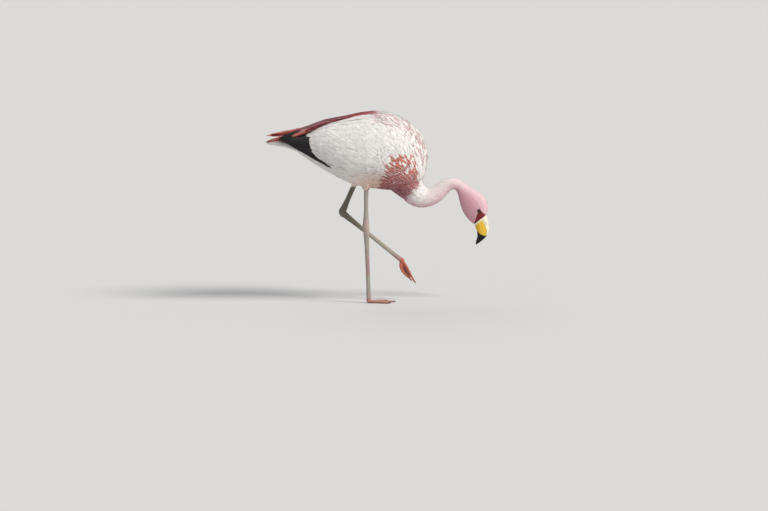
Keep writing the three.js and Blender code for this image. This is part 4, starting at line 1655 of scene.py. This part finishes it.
@dataclass
class LongFeathers:
    """Flight feathers, scapular plumes and tail feathers, one piece for each side or kind."""

    marks: Markings
    axis: Axis
    seed: int = 11
    quill_count: int = 15
    voxel: float = 1.6 * MM

    def __post_init__(self) -> None:
        """Starts the source of chance."""
        self.rng = np.random.default_rng(self.seed)

    def _piece(self, name: str, node: str, batch: Batch, finish: FeatherFinish) -> Thing:
        """Makes one piece from a batch of feathers, in the place of a solid."""
        piece = add_object(name, batch.mesh(name, self.axis.unwrap(batch.path[:, 0])))
        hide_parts(node)
        return finish_piece(piece, finish.build())

    def quills(self, side: str) -> Thing:
        """Black flight feathers of one folded wing, fanned from under the coverts to the wing tip."""
        sign = SIDES[side]
        surface = Surface.of_nodes(f"quills_{side}", f"wing_{side}", "trunk", "tail")
        lane = np.linspace(0.0, 1.0, self.quill_count)
        front = self.marks.wedge_front(lane)
        tips = along_line(self.marks.dark_low[1:], lane**0.62)
        front = front + unit(front - tips) * 0.022
        tips[:, 1] += 0.0035 + 0.002 * lane
        stations = np.array(Vane.QUILL.value.stations)
        place = front[:, None] * (1.0 - stations[None, :, None]) + tips[:, None] * stations[None, :, None]
        place[..., 1] += (0.004 * np.sin(stations * math.pi))[None]
        paths = []
        for row, share in zip(place, lane):
            points = []
            for x, z in row:
                found = surface.seen(x, z, sign) or surface.tree.find_nearest((x, sign * 0.05, z))[0]
                points.append((x, found[1] + sign * (0.0006 + 0.0016 * share), z))
            line = eased(np.array(points), 5)
            line[:, 1] -= sign * 0.0045 * smooth(stations, 0.34, 0.08)
            paths.append(line)
        path = np.stack(paths)
        normal = np.broadcast_to(np.array([0.0, sign, 0.18]), path.shape)
        black = np.tile(self.marks.tones.black, (len(path), 1)) * self.rng.uniform(0.7, 1.6, (len(path), 1))
        half = 0.0068 + 0.0012 * np.sin(math.pi * lane)
        batch = Batch(Vane.QUILL, path, unit(normal), half, black, black, dome=0.5)
        finish = FeatherFinish("flight_feathers", 0.5, 0.05, 70.0, 0.0002, 0.25)
        return self._piece(f"flight_feathers_{side}", f"quills_{side}", batch, finish)

    def _combed(
        self, node: str, way: Colour, spacing: float, length: float, half: float
    ) -> tuple[Array, Array, Array]:
        """Feathers laid along a long solid, from its root to its end.

        Args:
            node: The solid.
            way: Way that the feathers point.
            spacing: Distance between neighbours.
            length: Length of a feather.
            half: Its half width.

        Returns:
            Paths, normals and half widths.
        """
        surface = Surface.evened(self.voxel, 5, node)
        heading = unit(np.array(way))

        def lie(points: Array) -> Array:
            """The same way everywhere."""
            return np.broadcast_to(heading, points.shape)

        roots = surface.scatter(lambda p: np.full(len(p), spacing), spacing, self.rng, lie, 2.6)
        end = surface.verts[:, 0].min()
        room = roots[:, 0] - end + 0.004 + 0.006 * self.rng.random(len(roots))
        roots, room = roots[room > 0.5 * length], room[room > 0.5 * length]
        size = np.minimum(length * self.rng.uniform(0.85, 1.15, len(roots)), room)
        sway = 0.05 * self.rng.standard_normal(len(roots))
        stations = Vane.LANCE.value.stations
        path, normal = laid(surface, lie, roots, size, stations, sway)
        if heading[2] < 0:
            lowest = 0.4545 + 0.19 * (path[..., 0] + 0.261)
            path[..., 2] = np.where(path[..., 0] < -0.232, np.maximum(path[..., 2], lowest), path[..., 2])
        beyond = np.linalg.norm(np.diff(path[:, -2:], axis=1)[:, 0], axis=1) < 0.5 * size * 0.15
        step = (path[:, -2] - path[:, -3]) * 0.8
        path[beyond, -1] = (path[:, -2] + step)[beyond]
        lift = 0.0004 + 0.0014 * self.rng.random(len(roots))
        path = sunk(path, normal, stations, np.full(len(roots), 1.5 * MM), lift)
        even = (dot(normal[:, :-1], normal[:, 1:])[..., 0] > 0.5).all(axis=1)
        return path[even], normal[even], half * self.rng.uniform(0.8, 1.2, even.sum())

    def plumes(self, side: str) -> Thing:
        """Red scapular plumes of one side of the back."""
        t = self.marks.tones
        way = (-1.0, 0.0, -0.24)
        path, normal, half = self._combed(f"plumes_{side}", way, 4.2 * MM, 0.085, 4.2 * MM)
        shade = self.rng.uniform(0.6, 1.4, (len(path), 1))
        place = path[:, 3, 0]
        front = smooth(place, -0.09, -0.03)
        rear = smooth(place, -0.155, -0.195)
        # Painted shade: plumes that face downward get less of the scarlet.
        low = smooth(normal[:, 2, 2], 0.4, -0.1)
        ends = mix(mix(t.crimson, t.maroon, 0.6), t.crimson, rear)
        ends = mix(ends, t.scarlet, np.maximum(0.9 * rear, 0.5 * front) * (1.0 - 0.5 * low)) * shade
        # Painted highlights: some plumes at the front and rear turn pale rose-peach as if lit by the sun.
        lit = self.rng.random(len(path)) < 0.34 * np.maximum(rear, front)
        ends = mix(ends, mix(t.rose, t.peach, 0.5), 0.7 * lit)
        base = mix(mix(t.maroon, t.crimson, 0.4), t.scarlet, 0.5 * rear) * shade
        batch = Batch(Vane.LANCE, path, normal, half, base, ends, dome=0.45, ragged=0.12)
        finish = FeatherFinish("plume_feathers", 0.6, 0.2, 60.0, 0.0002, 0.2)
        return self._piece(f"plumes_{side}_vanes", f"plumes_{side}", batch, finish)

    def tail(self) -> Thing:
        """White tail feathers, laid over each other."""
        path, normal, half = self._combed("tail", (-1.0, 0.0, 0.05), 5.0 * MM, 0.060, 6.0 * MM)
        white = np.tile(self.marks.tones.white, (len(path), 1)) * self.rng.uniform(0.93, 1.0, (len(path), 1))
        batch = Batch(Vane.LANCE, path, normal, half, white * 0.92, white, dome=0.3)
        finish = FeatherFinish("tail_feathers", 0.75, 0.2, 60.0, 0.0002, 0.12)
        return self._piece("tail_vanes", "tail", batch, finish)

    def build(self) -> list[Thing]:
        """All the long feathers."""
        made = [self.tail()]
        for side in SIDES:
            made += [self.quills(side), self.plumes(side)]
        return made


# --- bill, eyes and claws


@dataclass(frozen=True)
class HornFinish:
    """Finish of horn: its own stored colour, with faint lengthwise grain."""

    name: str
    roughness: float = 0.34
    grain: float = 500.0
    relief: float = 0.00008
    mottle: float = 0.12

    def build(self) -> Material:
        """The material."""
        s = Shader(self.name)
        grain = s.noise(s.places((1.0, 1.0, 0.25)), self.grain)
        s.tinted(s.span(grain, 0.3, 0.7, (1.0 - self.mottle, 1.0)))
        s.bump(grain, self.relief)
        s.gloss(self.roughness, 0.22, 0.0, 0.04)
        return s.material


@dataclass(frozen=True)
class EyeFinish:
    """Finish of an eyeball: wet and almost black, with a brown iris."""

    name: str = "eyeball"

    def build(self) -> Material:
        """The material."""
        s = Shader(self.name)
        s.fill(s.body, {"Base Color": s.attribute(TINT)["Color"]})
        s.gloss(0.06, 0.3, 0.0, 0.15)
        return s.material


@dataclass
class Bill:
    """Both halves of the bill, with the nostril and the colours."""

    voxel: float = 0.32 * MM
    root: Spot = (0.3127, 0.22215)
    root_way: Spot = (-0.602, 0.799)
    yellow: Colour = (0.80, 0.50, 0.045)
    # Pale band at the root of both halves, and the painted highlight that covers the upper half.
    cream: Colour = (0.87, 0.80, 0.62)
    black: Colour = (0.010, 0.009, 0.010)
    tip_line: Outline = (
        *((0.285, 0.1975), (0.301, 0.192), (0.310, 0.1835)),
        *((0.318, 0.180), (0.327, 0.179), (0.345, 0.190)),
    )
    nostril: Outline = ((0.3190, 0.2225), (0.3243, 0.2165), (0.3282, 0.2080))

    def _line_height(self, x: Array) -> Array:
        """Height of the edge of the black tip."""
        line = spline(np.array([(x, 0.0, z) for x, z in self.tip_line]), 80)
        return np.interp(x, line[:, 0], line[:, 2])

    def _from_nostril(self, points: Array) -> Array:
        """Distance from the nostril's slit, seen from the side."""
        line = spline(np.array([(x, 0.0, z) for x, z in self.nostril]), 24)
        place = points * np.array([1.0, 0.0, 1.0])
        return np.linalg.norm(place[:, None] - line[None], axis=2).min(axis=1)

    def _rounded(self, node: str) -> Thing:
        """The solid of one half as a piece, with its flats eased away and its edges kept."""
        piece = remeshed(f"{node}_horn", *node_arrays(node), self.voxel, 3)
        tree = search_tree(creases(*node_arrays(node), math.radians(38), 0.4 * MM))
        verts, _ = mesh_arrays(piece.data)
        away = np.array([tree.find(place)[2] for place in verts])
        group = piece.vertex_groups.new(name="flats")
        shares = smooth(away, 0.5 * MM, 2.0 * MM)
        for step in range(1, 9):
            picked = np.flatnonzero(np.round(shares * 8) == step)
            group.add(picked.tolist(), step / 8, "REPLACE")
        ease = piece.modifiers.new("ease", "SMOOTH")
        ease.vertex_group = "flats"
        ease.iterations = 110
        return applied(piece)

    def _half(self, node: str, ground: Colour) -> Thing:
        """One half of the bill.

        Args:
            node: Its solid.
            ground: Colour of its upper part.

        Returns:
            The piece.
        """
        piece = self._rounded(node)
        verts, _ = mesh_arrays(piece.data)
        slit = self._from_nostril(verts)
        if node == "bill_upper":
            sink = smooth(slit, 1.6 * MM, 0.3 * MM) * 0.55 * MM * (np.abs(verts[:, 1]) > 4 * MM)
            verts = verts - mesh_normals(piece.data) * sink[:, None]
        below = -((verts[:, [0, 2]] - np.array(self.root)) @ np.array(self.root_way))
        into = np.array([self.root_way[0], 0.0, self.root_way[1]]) * 1.9 * MM
        verts = verts + into * smooth(below, 2.5 * MM, 0.5 * MM)[:, None]
        piece.data.vertices.foreach_set("co", verts.astype(np.float32).ravel())
        wave = 0.0006 * ripple(verts, 0.02, 4.0)
        colour = mix(ground, self.cream, smooth(below + wave, 3.6 * MM, 1.8 * MM))
        if node == "bill_upper":
            # Painted shade: the nostril's slit is darkened almost to black, as the shade inside its opening.
            colour = mix(colour, self.black, 0.9 * smooth(slit, 0.75 * MM, 0.35 * MM))
        tip = smooth(verts[:, 2] - self._line_height(verts[:, 0]) + wave, 0.5 * MM, -0.5 * MM)
        set_colours(piece.data, TINT, mix(colour, self.black, tip))
        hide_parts(node)
        return finish_piece(piece, HornFinish(f"{node}_finish").build())

    def build(self) -> list[Thing]:
        """Both halves."""
        # The upper half is cream all over: a painted highlight of its sunlit top.
        return [self._half("bill_upper", self.cream), self._half("bill_lower", self.yellow)]


@dataclass
class Eyes:
    """Both eyeballs."""

    pupil: float = math.radians(24)
    iris: float = math.radians(48)
    brown: Colour = (0.026, 0.009, 0.005)
    black: Colour = (0.004, 0.003, 0.003)

    def build(self) -> list[Thing]:
        """One smooth ball for each side."""
        return [self._eye(side, sign) for side, sign in SIDES.items()]

    def _eye(self, side: str, sign: float) -> Thing:
        """The eyeball of one side."""
        low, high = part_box(f"eye_{side}")
        radius = (high[2] - low[2]) / 2.0
        centre, turn = middle(f"eye_{side}"), Matrix.Rotation(math.pi / 2, 4, "X")
        verts, tris = ball(centre, np.full(3, radius), turn, 110)
        piece = add_shape(f"eyeball_{side}", verts, tris)
        out = unit(verts - centre) @ unit(np.array([0.18, sign, 0.0]))
        angle = np.arccos(np.clip(out, -1.0, 1.0))
        colour = mix(self.black, self.brown, smooth(angle, self.pupil - 0.05, self.pupil + 0.05))
        colour = mix(colour, self.black, smooth(angle, self.iris - 0.08, self.iris + 0.08))
        set_colours(piece.data, TINT, colour)
        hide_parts(f"eye_{side}")
        return finish_piece(piece, EyeFinish(f"eyeball_{side}_finish").build())


@dataclass
class Claws:
    """The claws, rounded off."""

    toes: tuple[str, ...] = ("inner", "middle", "outer")
    horn: Colour = (0.060, 0.042, 0.036)
    voxel: float = 0.3 * MM

    def _pointed(self, side: str, toe: str) -> Shape:
        """One claw, drawn back into its toe and tapered to a rounded point."""
        verts, tris = node_arrays(f"claw_{side}_{toe}")
        away = apart(verts, Leg(side).joint)
        root = verts[away < away.min() + 1.5 * MM].mean(axis=0)
        tip = verts[away > away.max() - 1.0 * MM].mean(axis=0)
        way = unit(tip - root)
        long = np.linalg.norm(tip - root)
        along = (verts - root) @ way
        spine = root + way * along[:, None]
        thin = 1.0 - 0.55 * np.clip(along / long, 0.0, 1.0) ** 1.5
        return spine + (verts - spine) * thin[:, None] - way * 1.6 * MM, tris

    def build(self) -> list[Thing]:
        """One piece for each foot."""
        made = []
        for side in SIDES:
            shapes = gathered(self._pointed(side, toe) for toe in self.toes)
            piece = remeshed(f"claws_{side}", *shapes, self.voxel, 5)
            set_colours(piece.data, TINT, np.tile(self.horn, (len(piece.data.vertices), 1)))
            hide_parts(*(f"claw_{side}_{toe}" for toe in self.toes))
            made.append(finish_piece(piece, HornFinish(f"claws_{side}_finish", 0.4).build()))
        return made


# --- rows of plates


def tile(turn: float, steps: int = 8) -> Shape:
    """Curved plate one long, bent round the X axis at about radius one, thicker at its end.

    Args:
        turn: Half the angle that it covers.
        steps: Faces across it.

    Returns:
        Vertex places and triangles.
    """
    section = ((-0.5, 0.88), (-0.5, 0.99), (-0.15, 1.022), (0.38, 1.035), (0.5, 1.01), (0.5, 0.88))
    count = len(section)
    angles = np.linspace(-turn, turn, steps + 1)
    edge = np.cos(angles / turn * math.pi / 2) ** 0.35
    verts = []
    for angle, full in zip(angles, edge):
        for x, radius in section:
            r = 0.88 + (radius - 0.88) * (0.6 + 0.4 * full)
            verts.append((x * (0.8 + 0.2 * full), r * math.sin(angle), r * math.cos(angle)))
    tris = []
    for s in range(steps):
        for k in range(count):
            n = (k + 1) % count
            a, b, c, d = s * count + k, s * count + n, (s + 1) * count + n, (s + 1) * count + k
            tris += [(a, b, c), (a, c, d)]
    last = steps * count
    for k in range(1, count - 1):
        tris += [(0, k + 1, k), (last, last + k, last + k + 1)]
    return np.array(verts), np.array(tris)


@dataclass(frozen=True)
class Row:
    """Copies of one plate along a path, made by a node tree with named inputs."""

    name: str
    spacing: float
    vary: float = 0.05
    seed: int = 3

    def _tree(self) -> tuple[bpy.types.GeometryNodeTree, dict[str, str]]:
        """The node tree, and the identifier of each of its inputs."""
        tree = bpy.data.node_groups.new(f"{self.name}_row", "GeometryNodeTree")
        kinds = {"Geometry": "Geometry", "Plate": "Object", "Spacing": "Float", "Vary": "Float"}
        keys = {}
        for name, kind in (kinds | {"Seed": "Int", "Material": "Material"}).items():
            made = tree.interface.new_socket(name, in_out="INPUT", socket_type=f"NodeSocket{kind}")
            keys[name] = made.identifier
        tree.interface.new_socket("Geometry", in_out="OUTPUT", socket_type="NodeSocketGeometry")
        node = tree.nodes.new

        def link(source: bpy.types.Node, out: str | int, target: bpy.types.Node, into: str | int) -> None:
            """Joins an output of one node to an input of another."""
            tree.links.new(source.outputs[out], target.inputs[into])

        given, result = node("NodeGroupInput"), node("NodeGroupOutput")
        steps = ("MeshToCurve", "ResampleCurve", "CurveToPoints")
        curve, even, points = (node(f"GeometryNode{step}") for step in steps)
        even.mode = "LENGTH"
        points.mode = "EVALUATED"
        link(given, "Geometry", curve, 0)
        link(curve, 0, even, "Curve")
        link(given, "Spacing", even, "Length")
        link(even, 0, points, "Curve")
        plate = node("GeometryNodeObjectInfo")
        link(given, "Plate", plate, "Object")
        stored = {}
        for name in ("out", "size"):
            stored[name] = node("GeometryNodeInputNamedAttribute")
            stored[name].data_type = "FLOAT_VECTOR"
            stored[name].inputs["Name"].default_value = name
        stand, turn = (node("FunctionNodeAlignRotationToVector") for _ in range(2))
        stand.axis = "Z"
        turn.axis, turn.pivot_axis = "X", "Z"
        link(stored["out"], 0, stand, "Vector")
        link(stand, 0, turn, "Rotation")
        link(points, "Tangent", turn, "Vector")
        least, most, chance = node("ShaderNodeMath"), node("ShaderNodeMath"), node("FunctionNodeRandomValue")
        least.operation, most.operation, chance.data_type = "SUBTRACT", "ADD", "FLOAT"
        for bound, socket in ((least, 2), (most, 3)):
            bound.inputs[0].default_value = 1.0
            link(given, "Vary", bound, 1)
            link(bound, 0, chance, socket)
        link(given, "Seed", chance, "Seed")
        scale = node("ShaderNodeVectorMath")
        scale.operation = "SCALE"
        link(stored["size"], 0, scale, 0)
        link(chance, 1, scale, "Scale")
        steps = ("InstanceOnPoints", "RealizeInstances", "SetMaterial")
        copies, real, paint = (node(f"GeometryNode{step}") for step in steps)
        link(points, "Points", copies, "Points")
        link(plate, "Geometry", copies, "Instance")
        link(turn, 0, copies, "Rotation")
        link(scale, 0, copies, "Scale")
        link(copies, 0, real, 0)
        link(real, 0, paint, "Geometry")
        link(given, "Material", paint, "Material")
        link(paint, 0, result, 0)
        return tree, keys

    def lay(self, path: Array, out: Array, size: Array, plate: Shape, material: Material) -> Shape:
        """Sets the plates along a path.

        Args:
            path: Places along it.
            out: Way that a plate's Z points at each.
            size: Scale of a plate at each, in its own X, Y and Z.
            plate: The plate, its X along the path.
            material: What the tree gives the plates.

        Returns:
            Vertex places and triangles of all the plates.
        """
        mesh = bpy.data.meshes.new(self.name)
        mesh.from_pydata(path.tolist(), [(i, i + 1) for i in range(len(path) - 1)], [])
        for name, values in (("out", out), ("size", size)):
            mesh.attributes.new(name, "FLOAT_VECTOR", "POINT").data.foreach_set("vector", values.ravel())
        thing = add_object(self.name, mesh)
        pattern = add_shape(f"{self.name}_plate", *plate)
        modifier = thing.modifiers.new("row", "NODES")
        modifier.node_group, keys = self._tree()
        inputs = {"Plate": pattern, "Spacing": self.spacing, "Vary": self.vary}
        for name, value in (inputs | {"Seed": self.seed, "Material": material}).items():
            modifier[keys[name]] = value
        verts, tris = mesh_arrays(applied(thing).data)
        bpy.data.objects.remove(thing)
        bpy.data.objects.remove(pattern)
        return verts, tris


@dataclass
class Scutes:
    """Rows of scutes down the front and the back of both tarsi."""

    marks: Markings
    front_spacing: float = 4.4 * MM
    back_spacing: float = 3.4 * MM

    def _leg(self, side: str, material: Material) -> Thing:
        """Scutes of one tarsus."""
        leg = Leg(side)
        line, deep, wide = leg.tarsus_line()
        inner = slice(14, 113)
        line, deep, wide = line[inner], deep[inner], wide[inner]
        way = unit(leg.joint - leg.ankle)
        fore = unit(np.cross(way, Y_AXIS))
        fore = fore * np.sign(fore[0])
        shapes = []
        for row, spacing, sign in (("front", self.front_spacing, 1.0), ("back", self.back_spacing, -1.0)):
            out = np.tile(fore * sign, (len(line), 1))
            size = np.column_stack([np.full(len(line), spacing * 0.97), wide, deep])
            turn = math.radians(80 if row == "front" else 66)
            maker = Row(f"scutes_{side}_{row}", spacing, 0.006)
            shapes.append(maker.lay(line, out, size, tile(turn, 12), material))
        verts, tris = gathered(shapes)
        piece = add_shape(f"scutes_{side}", verts, tris)
        shade = 0.92 + 0.08 * ripple(verts, 0.006, 2.0)
        # The leg colours carry the painted shade of the raised leg.
        set_colours(piece.data, TINT, self.marks.legs(verts) * shade[:, None])
        return finish_piece(piece, material)

    def build(self) -> list[Thing]:
        """The scutes of both legs."""
        material = HornFinish("scute_skin", 0.55, 700.0, 0.00008, 0.2).build()
        return [self._leg(side, material) for side in SIDES]


@dataclass
class Lamellae:
    """Fine combs in the gape of the bill, on both sides."""

    gape: Outline = (
        *((0.3150, 0.2240), (0.3212, 0.2140), (0.3274, 0.1980)),
        *((0.3286, 0.1870), (0.3236, 0.1770), (0.3115, 0.1655)),
    )
    spacing: float = 0.75 * MM
    plate: Colour = (0.32 * MM, 1.1 * MM, 1.5 * MM)
    colour: Colour = (0.20, 0.09, 0.05)

    def build(self) -> Thing:
        """Both combs as one piece."""
        surface = Surface.of_nodes("bill_lower", "bill_upper")
        line = spline(np.array([(x, 0.0, z) for x, z in self.gape]), 60)
        material = HornFinish("comb_finish", 0.5).build()
        corners = np.array([(x, y, z) for x in (-0.5, 0.5) for y in (-0.5, 0.5) for z in (-0.5, 0.5)])
        faces = [(0, 1, 3), (0, 3, 2), (4, 6, 7), (4, 7, 5), (0, 4, 5), (0, 5, 1)]
        faces += [(2, 3, 7), (2, 7, 6), (0, 2, 6), (0, 6, 4), (1, 5, 7), (1, 7, 3)]
        shapes = []
        for side, sign in SIDES.items():
            path = []
            for x, _, z in line:
                found = surface.seen(x, z, sign) or (x, sign * 0.004, z)
                path.append((x, found[1] - sign * 1.1 * MM, z))
            path = eased(np.array(path), 6)
            out = np.tile([0.0, sign, 0.0], (len(path), 1))
            size = np.tile(self.plate, (len(path), 1))
            maker = Row(f"comb_{side}", self.spacing, 0.05)
            shapes.append(maker.lay(path, out, size, (corners, np.array(faces)), material))
        verts, tris = gathered(shapes)
        piece = add_shape("bill_lamellae", verts, tris)
        set_colours(piece.data, TINT, np.tile(self.colour, (len(verts), 1)))
        return finish_piece(piece, material)


@dataclass
class Bird:
    """The whole model, assembled in order from its parts."""

    middle_nodes: Sequence[str] = ("trunk", "head", "neck_lower", "neck_middle", "neck_upper")
    paired_nodes: Sequence[str] = ("thigh", "wing", "eye")
    voxel: float = 2.2 * MM

    def form(self) -> Surface:
        """Outer form of head, neck and body, which plumage and skin are laid on."""
        paired = [f"{node}_{side}" for node in self.paired_nodes for side in SIDES]
        return Surface.evened(self.voxel, 4, *self.middle_nodes, *paired)

    def build(self) -> None:
        """Build every piece of the bird."""
        axis = Axis()
        marks = Markings(axis)
        surface = self.form()
        LOG.info("form ready")
        skin = Skin(axis, marks, surface)
        skin.build()
        LOG.info("skin ready")
        pieces = Plumage(axis, marks, surface, skin.depth, FeatherFinish("feathers")).build()
        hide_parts("wing_right", "wing_left")
        LOG.info("plumage ready")
        LongFeathers(marks, axis).build()
        Bill().build()
        Eyes().build()
        Claws().build()
        Scutes(marks).build()
        Lamellae().build()
        LOG.info("all pieces ready")


def main() -> None:
    """Build the studio and the bird."""
    logging.basicConfig(level=logging.INFO)
    Studio().build()
    Bird().build()
    LOG.info("sizes written")


if __name__ == "__main__":
    main()
